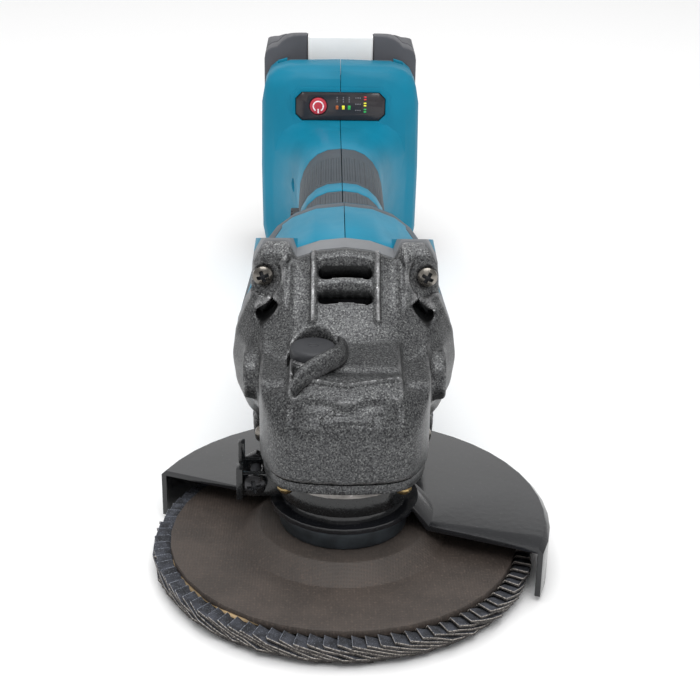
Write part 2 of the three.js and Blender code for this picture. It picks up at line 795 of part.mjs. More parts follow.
function gearHousingOutside() {
  const below = box(-60, 60, -60, 60, 0, UNDERSIDE);
  const plan = prism("Z", headPlan(HEAD_BACK - 2), HEAD_LIP, 100);
  const head = common(plan, prism("X", SHOULDER_PROFILE, -40, 40));
  const ridgePlan = [
    [-HEAD_RIDGE_HALF, HEAD_BACK],
    [-HEAD_RIDGE_HALF, -18.5],
    [-12.5, -22.8],
    [-6, -24.8],
    [0, -HEAD_NOSE],
    [6, -24.8],
    [12.5, -22.8],
    [HEAD_RIDGE_HALF, -18.5],
    [HEAD_RIDGE_HALF, HEAD_BACK],
  ];
  const ridge = common(
    prism("Z", ridgePlan, HEAD_LIP + 2, 100),
    prism("X", RIDGE_PROFILE, -40, 40),
    bar("Y", SLOPE_TOP.z - AXIS_HEIGHT, -40, 40, ON_MOTOR_AXIS, 48),
  );
  const bosses = bar(
    "X",
    HANDLE_BOSS_RADIUS,
    -HANDLE_BOSS_REACH,
    HANDLE_BOSS_REACH,
    vec(0, HANDLE_BOSS_Y, AXIS_HEIGHT),
    16,
  );
  const castLugs = lugs(SCREW_HEAD_SEAT, HEAD_BACK).map((lug) => cut(lug, lugChamfer()));
  const whole = join(head, ridge, headCone(), bosses, castLugs);
  const underHead = box(-60, 60, -60, FLANGE_RADIUS + 4.2, 0, HEAD_LIP);
  return cut(whole, below, underHead);
}

function gearHousing() {
  const button = vec(BUTTON_X, BUTTON_Y, 0);
  const recess = BUTTON_TOP - BUTTON_THICKNESS - BUTTON_TRAVEL;
  const behindBearing = FRONT_BEARING_START - FIT;
  const upperSeatTop = UPPER_BEARING_BOTTOM + UPPER_BEARING_WIDTH + FIT;
  const roof = [
    [0, SLOPE_FOOT.z - DUCT_ROOF],
    [0, 110],
    [SLOPE_TOP.y, 110],
    [SLOPE_TOP.y, SLOPE_TOP.z - DUCT_ROOF],
    [SLOPE_FOOT.y, SLOPE_FOOT.z - DUCT_ROOF],
  ];
  const upperDuct = cut(
    common(
      tube("Y", 15, 27, 19.5, SCREW_HEAD_SEAT, ON_MOTOR_AXIS, 24),
      box(-16, 16, 0, 40, AXIS_HEIGHT + 13, 99),
    ),
    prism("X", roof, -20, 20),
  );
  const vents = VENTS.map(({ y, width }) =>
    box(-VENT_HALF_WIDTH, VENT_HALF_WIDTH, y - width / 2, y + width / 2, AXIS_HEIGHT + 16, 105),
  );
  const sideVents = [-1, 1].map((side) => {
    const slot = new THREE.BoxGeometry(9, 30, SIDE_VENT.width);
    slot.rotateY(side * 0.79);
    slot.translate(side * SIDE_VENT.x, SIDE_VENT.y, SIDE_VENT.z);
    return solid(slot);
  });
  const handleHoles = [-1, 1].map((side) => {
    const [a, b] = [side * (GEAR_CAVITY_RADIUS + 2.4), side * (HANDLE_BOSS_REACH + 1)];
    const at = vec(0, HANDLE_BOSS_Y, AXIS_HEIGHT);
    return bar("X", HANDLE_HOLE_RADIUS, Math.min(a, b), Math.max(a, b), at, 12);
  });
  const boxScrewHoles = boxScrewPlaces().map((at) => bar("Z", 2.1, HEAD_LIP - 1, 54, at, 8));
  return cut(
    gearHousingOutside(),
    bar("Z", GEAR_CAVITY_RADIUS, HEAD_LIP - 5, CAVITY_ROOF, undefined, 24),
    bar("Z", UPPER_BEARING_RADIUS + FIT, CAVITY_ROOF - 1, upperSeatTop, undefined, 20),
    bar("Y", 8.6, 10, behindBearing + 1, ON_MOTOR_AXIS, 12),
    bar("Y", FRONT_BEARING_RADIUS + FIT, behindBearing, FRONT_BEARING_END + 2, ON_MOTOR_AXIS, 20),
    cut(
      bar("Y", FAN_RADIUS - 2, 27, SCREW_HEAD_SEAT + 0.1, ON_MOTOR_AXIS, 24, FAN_RADIUS + 1.5),
      bar("Y", FRONT_BEARING_RADIUS + 2.5, 20, FRONT_BEARING_END + FIT, ON_MOTOR_AXIS, 20),
    ),
    bar("Y", FAN_RADIUS + 1.5, SCREW_HEAD_SEAT, HEAD_BACK + 1, ON_MOTOR_AXIS, 24),
    upperDuct,
    vents,
    sideVents,
    handleHoles,
    boxScrewHoles,
    bar("Z", BUTTON_RADIUS + 0.45, recess, 90, button, 24),
    bar("Z", PIN_RADIUS + 0.5, CAVITY_ROOF - 1, recess + 1, button, 8),
    alongScrews(2.3, 20, 40, 8),
    alongScrews(3.9, 16, SCREW_HEAD_SEAT, 12),
  );
}

// ---------------------------------------------------------------- spindle lock
function lockButton() {
  const bottom = BUTTON_TOP - BUTTON_THICKNESS;
  const at = vec(BUTTON_X, BUTTON_Y, 0);
  return turned(
    "Z",
    [
      [0, bottom],
      [BUTTON_RADIUS, bottom],
      [BUTTON_RADIUS, BUTTON_TOP - 0.8],
      [BUTTON_RADIUS - 0.8, BUTTON_TOP],
      [0, BUTTON_TOP],
    ],
    at,
    24,
  );
}

function lockPin() {
  const top = BUTTON_TOP - BUTTON_THICKNESS - GAP;
  return bar("Z", PIN_RADIUS, CROWN_WEB_TOP + 1.2, top, vec(BUTTON_X, BUTTON_Y, 0), 12);
}

function lockSpring() {
  const top = BUTTON_TOP - BUTTON_THICKNESS - GAP;
  const bottom = BUTTON_TOP - BUTTON_THICKNESS - BUTTON_TRAVEL + FIT;
  return tube("Z", PIN_RADIUS + 0.8, PIN_RADIUS + 2.4, bottom, top, vec(BUTTON_X, BUTTON_Y, 0), 16);
}

// ---------------------------------------------------------------- bearing box
function boxScrewPlaces() {
  return [-1, 1].flatMap((x) =>
    [-1, 1].map((y) => vec(x * BOX_SCREW_OFFSET, y * BOX_SCREW_OFFSET, 0)),
  );
}

function bearingBox() {
  const flangeTop = HEAD_LIP - GAP;
  const flangeBottom = flangeTop - BOX_FLANGE_THICKNESS;
  const flange = prism("Z", headPlan(FLANGE_RADIUS + 1.4, 1), flangeBottom, flangeTop);
  const bore = LOWER_BEARING_RADIUS + FIT;
  const neck = turned(
    "Z",
    [
      [SPINDLE_SHOULDER_RADIUS + CLEAR, NECK_BOTTOM],
      [NECK_RADIUS - 0.8, NECK_BOTTOM],
      [NECK_RADIUS, NECK_BOTTOM + 0.8],
      [NECK_RADIUS, BAND_TOP + GAP],
      [BRIGHT_RING_RADIUS, BAND_TOP + GAP],
      [BRIGHT_RING_RADIUS, flangeBottom + 0.5],
      [GEAR_CAVITY_RADIUS - GAP, flangeTop - 0.5],
      [GEAR_CAVITY_RADIUS - GAP, flangeTop + 1.8],
      [bore, flangeTop + 1.8],
      [bore, LOWER_BEARING_BOTTOM - FIT],
      [SPINDLE_SHOULDER_RADIUS + CLEAR, LOWER_BEARING_BOTTOM - FIT],
      [SPINDLE_SHOULDER_RADIUS + CLEAR, NECK_BOTTOM],
    ],
    undefined,
    28,
  );
  const bearingRoom = bar("Z", bore, LOWER_BEARING_BOTTOM, flangeTop + 3, undefined, 28);
  const holes = boxScrewPlaces().map((at) => bar("Z", 2.1, 30, 50, at, 8));
  return cut(join(cut(flange, bearingRoom), neck), holes);
}

// A pan-head screw that points along +Z from its seat.
function uprightScrew(at, headRadius, headHeight, shankRadius, length) {
  const slot = bar("Z", 0.9, at.z - headHeight - 1, at.z - headHeight + 1, at, 4);
  const body = turned(
    "Z",
    [
      [0, at.z - headHeight],
      [0.7 * headRadius, at.z - headHeight],
      [headRadius, at.z - 0.4 * headHeight],
      [headRadius, at.z],
      [shankRadius, at.z],
      [shankRadius, at.z + length],
      [0, at.z + length],
    ],
    vec(at.x, at.y, 0),
    10,
  );
  return cut(body, moved(slot, new THREE.Matrix4().makeTranslation(0, 0, -at.z)));
}

// ---------------------------------------------------------------- guard
const COLLAR_INNER = NECK_RADIUS + FIT;
const COLLAR_OUTER = COLLAR_INNER + COLLAR_WALL;
const BAND_INNER = COLLAR_OUTER + FIT;
const BAND_OUTER = BAND_INNER + BAND_WALL;
const COLLAR_BOTTOM = GUARD_TOP + GUARD_STEP_HEIGHT - GUARD_SHEET;

// The pressed guard: a half disc with a skirt, a step, and a round collar for the neck.
function guard() {
  const [t, top, step] = [GUARD_SHEET, GUARD_TOP, GUARD_TOP + GUARD_STEP_HEIGHT];
  const r = GUARD_RADIUS;
  const skin = turned(
    "Z",
    [
      [COLLAR_OUTER - 0.5, step - t],
      [24, step - t],
      [29, top - t],
      [r - t, top - t],
      [r - t, GUARD_SKIRT_BOTTOM],
      [r, GUARD_SKIRT_BOTTOM],
      [r, top - 1.6],
      [r - 1.6, top],
      [29.6, top],
      [24.4, step],
      [COLLAR_OUTER - 0.5, step],
      [COLLAR_OUTER - 0.5, step - t],
    ],
    undefined,
    48,
  );
  const away = turnedAboutZ(box(-100, 100, -100, 0, -10, 60), GUARD_TURN);
  const wall = ring(COLLAR_INNER, COLLAR_OUTER, COLLAR_BOTTOM, COLLAR_TOP);
  const collar = turned("Z", wall, undefined, 32);
  const hub = turned("Z", ring(COLLAR_INNER, 24, step - t, step), undefined, 32);
  return join(cut(skin, away), collar, hub);
}

// The split band that grips the collar, with two ears that the clamp screw pulls together.
function clampBand() {
  const band = turned("Z", ring(BAND_INNER, BAND_OUTER, BAND_BOTTOM, BAND_TOP), undefined, 32);
  const split = box(-EAR_REACH, -BAND_INNER + 2, EAR_FRONT_Y + EAR_WALL, EAR_REAR_Y, 20, 50);
  const [tip, root, low] = [-EAR_REACH + 1, -BAND_INNER + 0.6, BAND_BOTTOM - 1];
  const front = box(tip, root, EAR_FRONT_Y - 0.2, EAR_FRONT_Y + EAR_WALL, low, BAND_TOP);
  const flangeAtTip = box(tip - 1, tip + 1, EAR_FRONT_Y - 3, EAR_FRONT_Y + EAR_WALL, low, BAND_TOP + 3);
  const rear = box(tip, root, EAR_REAR_Y, EAR_REAR_Y + EAR_WALL, low, BAND_TOP);
  const hook = box(tip - 1, tip + 1, EAR_REAR_Y, EAR_REAR_Y + 3.4, low, BAND_TOP + 5.8);
  const hole = bar("Y", 2.3, -20, 20, vec(CLAMP_SCREW_X, 0, CLAMP_SCREW_Z), 12);
  const collarRoom = bar("Z", BAND_INNER, 20, 50, undefined, 32);
  return cut(join(cut(band, split), front, flangeAtTip, rear, hook), hole, collarRoom);
}

function clampScrew() {
  const seat = EAR_FRONT_Y - 0.2 - GAP;
  const at = vec(CLAMP_SCREW_X, 0, CLAMP_SCREW_Z);
  const body = turned(
    "Y",
    [
      [0, seat - 2.8],
      [2.6, seat - 2.8],
      [3.7, seat - 1.4],
      [3.7, seat],
      [2, seat],
      [2, EAR_REAR_Y + 6.4],
      [0, EAR_REAR_Y + 6.4],
    ],
    at,
    12,
  );
  return cut(body, crossSlots("Y", at, seat - 2.8, 1.6, 2.2));
}

// Two crossed slots cut in a screw's head from its face inwards.
function crossSlots(axis, at, face, depth, reach) {
  const [a, b] = [face - 1, face + depth];
  const half = 0.55;
  if (axis === "Y")
    return [
      box(at.x - reach, at.x + reach, a, b, at.z - half, at.z + half),
      box(at.x - half, at.x + half, a, b, at.z - reach, at.z + reach),
    ];
  return [
    box(a, b, at.y - reach, at.y + reach, at.z - half, at.z + half),
    box(a, b, at.y - half, at.y + half, at.z - reach, at.z + reach),
  ];
}

function clampNut() {
  const at = vec(CLAMP_SCREW_X, 0, CLAMP_SCREW_Z);
  const from = EAR_REAR_Y + EAR_WALL + GAP;
  return cut(bar("Y", 4, from, from + 3.2, at, 6), bar("Y", 2 + GAP, from - 1, from + 5, at, 12));
}

// ---------------------------------------------------------------- body shell
const BODY_SECTIONS = [
  { y: BODY_START, half: 36.8, top: 98.5, bottom: 24.9, power: 2.05 },
  { y: 78, half: 34.6, top: 98.3, bottom: 26.8, power: 2.2 },
  { y: 87, half: 33.2, top: 97, bottom: 28.6, power: 2.2 },
  { y: 90.5, half: 28, top: 92.6, bottom: 31.9, power: 2.2 },
  { y: 97, half: 21.2, top: 87.2, bottom: 35.8, power: 2.3 },
  { y: 112, half: GRIP_HALF_WIDTH, top: GRIP_TOP, bottom: GRIP_BOTTOM, power: 2.4 },
  { y: 203, half: GRIP_HALF_WIDTH, top: GRIP_TOP - 0.5, bottom: GRIP_BOTTOM, power: 2.4 },
  { y: 228, half: 20.4, top: 83, bottom: 36, power: 2.5 },
  { y: 244, half: 24, top: 81.6, bottom: 32, power: 2.8 },
  { y: 256, half: 28.5, top: 80.6, bottom: 26, power: 3.2 },
  { y: 262, half: 32, top: 82.6, bottom: 18, power: 4 },
  { y: FOOT_FRONT, half: 33.4, top: FOOT_TOP - 5.1, bottom: 14.4, power: 5 },
  { y: FOOT_FRONT + 2, half: 36.4, top: FOOT_TOP - 1.7, bottom: 11, power: 5.5 },
  { y: FOOT_FRONT + 6, half: FOOT_HALF_WIDTH, top: FOOT_TOP, bottom: FOOT_BOTTOM, power: 6 },
  { y: FOOT_BACK, half: FOOT_HALF_WIDTH, top: FOOT_TOP, bottom: FOOT_BOTTOM, power: 6 },
];
// The inner walls that hold the motor reach into the wall of the motor barrel and the boot.
const MOTOR_SEAT_RADIUS = 33.4;
const BEARING_WALL_RADIUS = 31.5;
const CHANNEL_FRONT = FOOT_BACK - 8;
const LIP_FRONT = FOOT_BACK - 3;

// Where soft rubber covers the body: a boot with side panels, and two ribbed bands
// joined along the underside.
function bootZone(grow) {
  const g = grow;
  const side = (s) =>
    prism(
      "Z",
      [
        [s * (33.6 - g), 47 - g],
        [s * (20.5 - g), 79 - g],
        [s * (20.5 - g), 84],
        [s * 60, 84],
        [s * 60, 47 - g],
      ],
      43 - g,
      91 + g,
    );
  return join(box(-60, 60, 79 - g, 87 + g, 0, 120), side(-1), side(1));
}

function gripZone(grow) {
  const g = grow;
  return join(
    box(-60, 60, 99 - g, 139 + g, 0, 120),
    box(-60, 60, 150 - g, 203 + g, 0, 120),
    box(-12 - g, 12 + g, 130, 160, 0, 50),
  );
}

const SHELL_POSTS = [
  [93, 45, 19],
  [145, 48, 14],
  [236, 58, 20],
  [276, 93, 34.5],
  [276, 22, 35.5],
].map(([y, z, reach]) => ({ at: vec(0, y, z), reach }));

function panelOutline(grow) {
  return chamferedRectangle(
    -PANEL_HALF_WIDTH - grow,
    PANEL_HALF_WIDTH + grow,
    PANEL_HEIGHT - PANEL_HALF_HEIGHT - grow,
    PANEL_HEIGHT + PANEL_HALF_HEIGHT + grow,
    3 + 0.4 * grow,
  );
}

// The body before it is split: hollow, with seats for the motor, posts for the screws,
// a window for the panel, and the channel that the battery slides into.
function bodyShell() {
  const outer = lofted(BODY_SECTIONS);
  const hollowed = BODY_SECTIONS.filter((s) => s.y < CHANNEL_FRONT - WALL);
  const inside = hollowed.map((s, i) => {
    if (i === 0) return { ...s, y: s.y - 1 };
    return s.y > 255 ? { ...s, y: s.y + WALL } : s;
  });
  inside.push({ ...BODY_SECTIONS.at(-1), y: CHANNEL_FRONT - WALL });
  const core = lofted(BODY_SECTIONS, RUBBER);
  const soft = [bootZone(0), gripZone(0)];
  const skin = cut(outer, common(cut(box(-60, 60, 40, 210, 0, 120), core), join(soft)));
  const bezel = prism("Y", panelOutline(BEZEL), FOOT_FRONT - BEZEL_RISE, FOOT_FRONT + 5, 0);
  const hollow = cut(join(skin, bezel), lofted(inside, WALL + RUBBER * 0.6, 16));
  const seats = [ROTOR_START + 4, ROTOR_END - 8].map((y) =>
    tube("Y", STATOR_RADIUS + GAP, MOTOR_SEAT_RADIUS, y, y + 4, ON_MOTOR_AXIS, 20),
  );
  const bearingWall = tube(
    "Y",
    REAR_BEARING_RADIUS + FIT,
    BEARING_WALL_RADIUS,
    REAR_BEARING_START + 1,
    REAR_BEARING_END - 1,
    ON_MOTOR_AXIS,
    20,
  );
  const posts = SHELL_POSTS.map(({ at, reach }) => bar("X", 4.4, -reach, reach, at, 8));
  const panelBack = box(
    -PANEL_HALF_WIDTH - 3.6,
    PANEL_HALF_WIDTH + 3.6,
    FOOT_FRONT,
    FOOT_FRONT + 6,
    PANEL_HEIGHT - 10,
    PANEL_HEIGHT + 10,
  );
  const channel = join(
    box(
      -RAIL_HALF_WIDTH - CLEAR,
      RAIL_HALF_WIDTH + CLEAR,
      CHANNEL_FRONT,
      LIP_FRONT,
      RAIL_BOTTOM - CLEAR,
      130,
    ),
    box(
      -RAIL_NECK_HALF - CLEAR,
      RAIL_NECK_HALF + CLEAR,
      LIP_FRONT - 1,
      FOOT_BACK + 1,
      RAIL_BOTTOM - CLEAR,
      130,
    ),
  );
  const button = vec(POWER_X, 0, PANEL_HEIGHT);
  return cut(
    join(hollow, seats, bearingWall, posts, panelBack, frontLugs()),
    channel,
    prism("Y", panelOutline(GAP), FOOT_FRONT - 5, FOOT_FRONT - BEZEL_RISE + 0.6 + PANEL_THICKNESS + GAP),
    bar("Y", 3, FOOT_FRONT, FOOT_FRONT + 4.6, button, 16),
    alongScrews(2.3, 40, 58, 8),
    switchRoom(-17.3),
    switchSlot(),
    bodyVents(),
    bodyScrewHoles(),
  );
}

function frontLugs(grow = 0) {
  const run = lugs(BODY_START, BODY_START + 16 + grow, grow);
  return run.map((lug) => cut(lug, box(-60, 60, 30, 70, 0, 24), lugFall()));
}

function switchSlot() {
  const z = SWITCH_Z;
  return box(-30, -8, SWITCH_Y - 10 - SWITCH_TRAVEL, SWITCH_Y + 10, z - 3.4, z + 3.4);
}

function bodyVents() {
  return [-1, 1].flatMap((side) =>
    [0, 1, 2].map((i) => {
      const slot = new THREE.BoxGeometry(14, 1.8, 9);
      slot.translate(side * 30, 65 + 5 * i, 79);
      return solid(slot);
    }),
  );
}

function bodyScrewHoles() {
  return SHELL_POSTS.flatMap(({ at }) => [
    bar("X", BODY_SCREW_RADIUS + GAP, -45, 11, at, 8),
    bar("X", 3.5, -45, -BODY_SCREW_SINK, at, 8),
  ]);
}

function halfSpace(side) {
  return side < 0
    ? box(-80, -SEAM / 2, 30, 320, 0, 140)
    : box(SEAM / 2, 80, 30, 320, 0, 140);
}

// A rubber piece: the skin of the body inside a zone, on one side of the seam.
function rubberPiece(zone, side) {
  const over = cut(lofted(BODY_SECTIONS), lofted(BODY_SECTIONS, RUBBER - GAP / 2));
  return cut(common(over, zone, halfSpace(side)), switchRoom(-5), bodyVents(), screwRoom(), frontLugs(GAP));
}

function screwRoom() {
  return SHELL_POSTS.map(({ at }) => bar("X", 3.9, -45, -BODY_SCREW_SINK, at, 12));
}

function switchRoom(deepest) {
  const reach = SWITCH_LENGTH / 2 + CLEAR;
  return box(
    -30,
    deepest,
    SWITCH_Y - reach - SWITCH_TRAVEL,
    SWITCH_Y + reach,
    SWITCH_Z - SWITCH_HEIGHT / 2 - CLEAR,
    SWITCH_Z + SWITCH_HEIGHT / 2 + CLEAR,
  );
}

function bodyScrew(at) {
  const seat = -BODY_SCREW_SINK + GAP;
  const body = turned(
    "X",
    [
      [0, seat - 2.4],
      [2.2, seat - 2.4],
      [3, seat - 1.2],
      [3, seat - 0.6],
      [BODY_SCREW_RADIUS, seat - 0.6],
      [BODY_SCREW_RADIUS, 10],
      [0, 10],
    ],
    at,
    8,
  );
  return cut(body, crossSlots("X", at, seat - 2.4, 1, 1.5));
}

function baffleRing() {
  const r = FLANGE_BACK_RADIUS - 0.4;
  const rim = tube("Y", FAN_RADIUS + 1.5, r, BAFFLE_START, BAFFLE_END, ON_MOTOR_AXIS, 28);
  const web = tube("Y", 18, r - 1, BAFFLE_END - 2.4, BAFFLE_END, ON_MOTOR_AXIS, 28);
  const inner = bar("Y", FAN_RADIUS + 1.5, BAFFLE_START - 1, BAFFLE_END - 2.4, ON_MOTOR_AXIS, 28);
  const ears = lugs(BAFFLE_START, BAFFLE_END).map((lug) => cut(lug, lugFall()));
  const whole = cut(join(rim, web, ears), inner);
  return cut(whole, box(-60, 60, 30, 50, 0, UNDERSIDE - 3.2), alongScrews(2.3, 30, 50, 8));
}

function housingScrew(at) {
  const seat = SCREW_HEAD_SEAT - GAP;
  const body = turned(
    "Y",
    [
      [0, seat - 2.5],
      [2.2, seat - 2.5],
      [3.3, seat - 1.2],
      [3.3, seat],
      [1.9, seat],
      [1.9, 56],
      [0, 56],
    ],
    at,
    12,
  );
  return cut(body, crossSlots("Y", at, seat - 2.5, 1.3, 1.9));
}

// ---------------------------------------------------------------- controls
function controlPanel() {
  const from = FOOT_FRONT - BEZEL_RISE + 0.6;
  const plate = prism("Y", panelOutline(0), from, from + PANEL_THICKNESS, 0);
  return cut(plate, bar("Y", POWER_RADIUS + GAP, from - 1, from + 10, vec(POWER_X, 0, PANEL_HEIGHT), 24));
}

function powerButton() {
  const front = FOOT_FRONT - BEZEL_RISE + 0.1;
  const at = vec(POWER_X, 0, PANEL_HEIGHT);
  return turned(
    "Y",
    [
      [0, front],
      [POWER_RADIUS - 0.4, front],
      [POWER_RADIUS, front + 0.4],
      [POWER_RADIUS, front + 2],
      [0, front + 2],
    ],
    at,
    24,
  );
}

function powerSpring() {
  const front = FOOT_FRONT - BEZEL_RISE + 2.1 + GAP;
  return tube("Y", 1, 2.2, front, FOOT_FRONT + 4.3, vec(POWER_X, 0, PANEL_HEIGHT), 12);
}

// The thumb slide: a ribbed pad outside and a stem through the slot.
function slideSwitch() {
  const [y, z] = [SWITCH_Y, SWITCH_Z];
  const [a, b] = [y - SWITCH_LENGTH / 2, y + SWITCH_LENGTH / 2];
  const pad = box(-20.8, -17.6, a, b, z - SWITCH_HEIGHT / 2, z + SWITCH_HEIGHT / 2);
  const stem = box(-18, -12.4, y - 6, y + 6, z - 2.8, z + 2.8);
  const grooves = [-8, -4, 0, 4, 8].map((d) => box(-22, -20, y + d - 0.7, y + d + 0.7, z - 9, z + 9));
  return cut(join(pad, stem), grooves);
}

// A thin rod that carries the slide's movement back to the switch.
function switchRod() {
  const [y, z] = [SWITCH_Y, SWITCH_Z];
  return box(-12.1, -9.6, y - 8, 172, z - 2.4, z + 2.4);
}

function switchUnit() {
  return prism("Y", roundedRectangle(-7.5, 7.5, 52, 66, 1), 182, 210);
}

function controllerBoard() {
  const board = box(-25, 25, 270.8, 272.6, 34, 76);
  const parts = [
    box(-20, -8, 272.5, 277, 40, 52),
    box(-2, 8, 272.5, 278, 44, 60),
    box(12, 22, 272.5, 276, 38, 70),
    box(-20, -6, 272.5, 275, 58, 72),
  ];
  return join(board, parts);
}

function terminalBlock() {
  const base = box(-14, 14, CHANNEL_FRONT + GAP, CHANNEL_FRONT + 3.2, 24, 46);
  const blades = [-9, 0, 9].map((x) =>
    box(x - 0.7, x + 0.7, CHANNEL_FRONT + 3, CHANNEL_FRONT + 6.4, 27, 43),
  );
  return join(base, blades);
}

// ---------------------------------------------------------------- battery
// The pack's outline seen from the front: stepped round shoulders at the top.
function batteryOutline(inset) {
  const w = BATTERY_HALF_WIDTH - inset;
  const top = BATTERY_TOP - inset;
  const bottom = inset;
  const s = new THREE.Shape();
  s.moveTo(-w + 5, bottom);
  s.lineTo(w - 5, bottom);
  s.quadraticCurveTo(w, bottom, w, bottom + 5);
  s.lineTo(w, top - 12);
  s.quadraticCurveTo(w, top - 6.5, w - 6.5, top - 5.6);
  s.quadraticCurveTo(w - 11, top, w - 18, top);
  s.lineTo(18 - w, top);
  s.quadraticCurveTo(11 - w, top, 6.5 - w, top - 5.6);
  s.quadraticCurveTo(-w, top - 6.5, -w, top - 12);
  s.lineTo(-w, bottom + 5);
  s.quadraticCurveTo(-w, bottom, -w + 5, bottom);
  return s;
}

// The room over the pack's top, which falls away behind the latch.
function batteryFall(inset) {
  const from = BATTERY_SPLIT - 6;
  const back = BATTERY_BACK + 5;
  const top = BATTERY_TOP - inset;
  const fall = 0.28 * (back - from);
  return prism("X", [[from, top], [back, top - fall], [back, top + 30], [from, top + 30]], -60, 60);
}

// Front half of the pack: the face with the sliding rails and the latch's seat.
function batteryCover() {
  const shell = cut(
    cut(prism("Y", batteryOutline(0), BATTERY_FRONT, BATTERY_SPLIT - GAP / 2), batteryFall(0)),
    cut(
      prism("Y", batteryOutline(BATTERY_WALL), BATTERY_FRONT + BATTERY_WALL, BATTERY_SPLIT + 1),
      batteryFall(BATTERY_WALL),
    ),
  );
  const neck = box(
    -RAIL_NECK_HALF,
    RAIL_NECK_HALF,
    CHANNEL_FRONT + GAP,
    BATTERY_FRONT + 1,
    RAIL_BOTTOM,
    RAIL_TOP,
  );
  const head = box(
    -RAIL_HALF_WIDTH,
    RAIL_HALF_WIDTH,
    CHANNEL_FRONT + GAP,
    CHANNEL_FRONT + GAP + RAIL_THICKNESS,
    RAIL_BOTTOM,
    RAIL_TOP,
  );
  const notch = box(-15.2, 15.2, 280, CHANNEL_FRONT + 7.4, RAIL_BOTTOM - 1, 47.2);
  const seat = box(
    -LATCH_HALF_WIDTH - 2.6,
    LATCH_HALF_WIDTH + 2.6,
    BATTERY_FRONT + 1,
    BATTERY_SPLIT - GAP / 2,
    LATCH_BOTTOM - 2.6,
    BATTERY_TOP - 1,
  );
  const seatInside = cut(common(seat, prism("Y", batteryOutline(0.5), 290, 320)), batteryFall(0.5));
  return cut(join(shell, neck, head, seatInside), notch, latchCut());
}

function latchCut() {
  const x = LATCH_HALF_WIDTH + GAP;
  return box(
    -x,
    x,
    CHANNEL_FRONT - 1,
    BATTERY_SPLIT - BATTERY_WALL,
    LATCH_BOTTOM - GAP,
    BATTERY_TOP + 5,
  );
}

function batteryCase() {
  return cut(
    cut(prism("Y", batteryOutline(0), BATTERY_SPLIT + GAP / 2, BATTERY_BACK, 1.6), batteryFall(0)),
    cut(
      prism("Y", batteryOutline(BATTERY_WALL), BATTERY_SPLIT - 1, BATTERY_BACK - BATTERY_WALL),
      batteryFall(BATTERY_WALL),
    ),
  );
}

function batteryLatch() {
  const front = FOOT_BACK + 1.2;
  const back = BATTERY_SPLIT - BATTERY_WALL - LATCH_TRAVEL - GAP;
  const outline = [
    [-LATCH_HALF_WIDTH, LATCH_BOTTOM + 5],
    [-LATCH_HALF_WIDTH + 5, LATCH_BOTTOM],
    [LATCH_HALF_WIDTH - 5, LATCH_BOTTOM],
    [LATCH_HALF_WIDTH, LATCH_BOTTOM + 5],
    [LATCH_HALF_WIDTH, BATTERY_TOP],
    [-LATCH_HALF_WIDTH, BATTERY_TOP],
  ];
  return prism("Y", outline, front, back, 0.6);
}

function latchSpring() {
  const back = BATTERY_SPLIT - BATTERY_WALL - LATCH_TRAVEL - GAP;
  return tube("Y", 1.6, 3, back + FIT, back + LATCH_TRAVEL + FIT, vec(0, 0, 106), 12);
}

// Ten round cells in two layers, held as one block by their end straps.
function cellPack() {
  const cells = [];
  for (const y of [BATTERY_SPLIT + 7.4, BATTERY_SPLIT + 6.6 + 2 * CELL_RADIUS]) {
    for (let i = 0; i < 5; i++) {
      const z = 12.6 + i * (2 * CELL_RADIUS + 0.4) - 0.2 * i;
      cells.push(bar("X", CELL_RADIUS, -32.5, 32.5, vec(0, y, z), 10));
    }
  }
  const strap = box(-6, 6, BATTERY_SPLIT + 4, BATTERY_SPLIT + 28, 8, 92);
  return join(strap, cells);
}

function batteryBoard() {
  return box(-26, 26, BATTERY_SPLIT - 5, BATTERY_SPLIT - 3.2, 16, 90);
}

// ---------------------------------------------------------------- assembly
add("gear_housing", gearHousing(), CAST);
add("bearing_box", bearingBox(), STEEL);
boxScrewPlaces().forEach((at, i) => {
  const seat = HEAD_LIP - GAP - BOX_FLANGE_THICKNESS - GAP;
  add(`bearing_box_screw_${i + 1}`, uprightScrew(vec(at.x, at.y, seat), 2.8, 2.1, 1.7, 14), STEEL);
});
BODY_SCREW_PLACES.forEach((at, i) => add(`housing_screw_${i + 1}`, housingScrew(at), STEEL));
add("baffle_ring", baffleRing(), GREY_PLASTIC);
add("lock_button", lockButton(), BLACK_PLASTIC);
add("lock_pin", lockPin(), STEEL);
add("lock_spring", lockSpring(), STEEL);
add("spindle", spindle(), STEEL);
add("retaining_ring", retainingRing(), STEEL);
add("crown_gear", crownGear(), DARK_STEEL);
add(
  "spindle_bearing_lower",
  bearing("Z", SPINDLE_RADIUS + FIT, LOWER_BEARING_RADIUS, LOWER_BEARING_BOTTOM, LOWER_BEARING_WIDTH),
  STEEL,
);
add(
  "spindle_bearing_upper",
  bearing("Z", SPINDLE_TOP_RADIUS + FIT, UPPER_BEARING_RADIUS, UPPER_BEARING_BOTTOM, UPPER_BEARING_WIDTH),
  STEEL,
);
add("inner_flange", innerFlange(), DARK_STEEL);
add("backing_plate", backingPlate(), FIBRE);
add("flap_ring", flapRing(), ABRASIVE);
add("lock_nut", lockNut(), DARK_STEEL);
add("guard", guard(), BLACK_PAINT);
add("guard_clamp_band", clampBand(), BLACK_PAINT);
add("guard_clamp_screw", clampScrew(), DARK_STEEL);
add("guard_clamp_nut", clampNut(), DARK_STEEL);
add("rotor_shaft", rotorShaft(), STEEL);
add("pinion", pinion(), DARK_STEEL);
add("fan", fan(), BLACK_PLASTIC);
add("rotor_core", rotorCore(), DARK_STEEL);
add("motor_bearing_front", frontMotorBearing(), STEEL);
add("motor_bearing_rear", rearMotorBearing(), STEEL);
add("stator", stator(), COPPER);
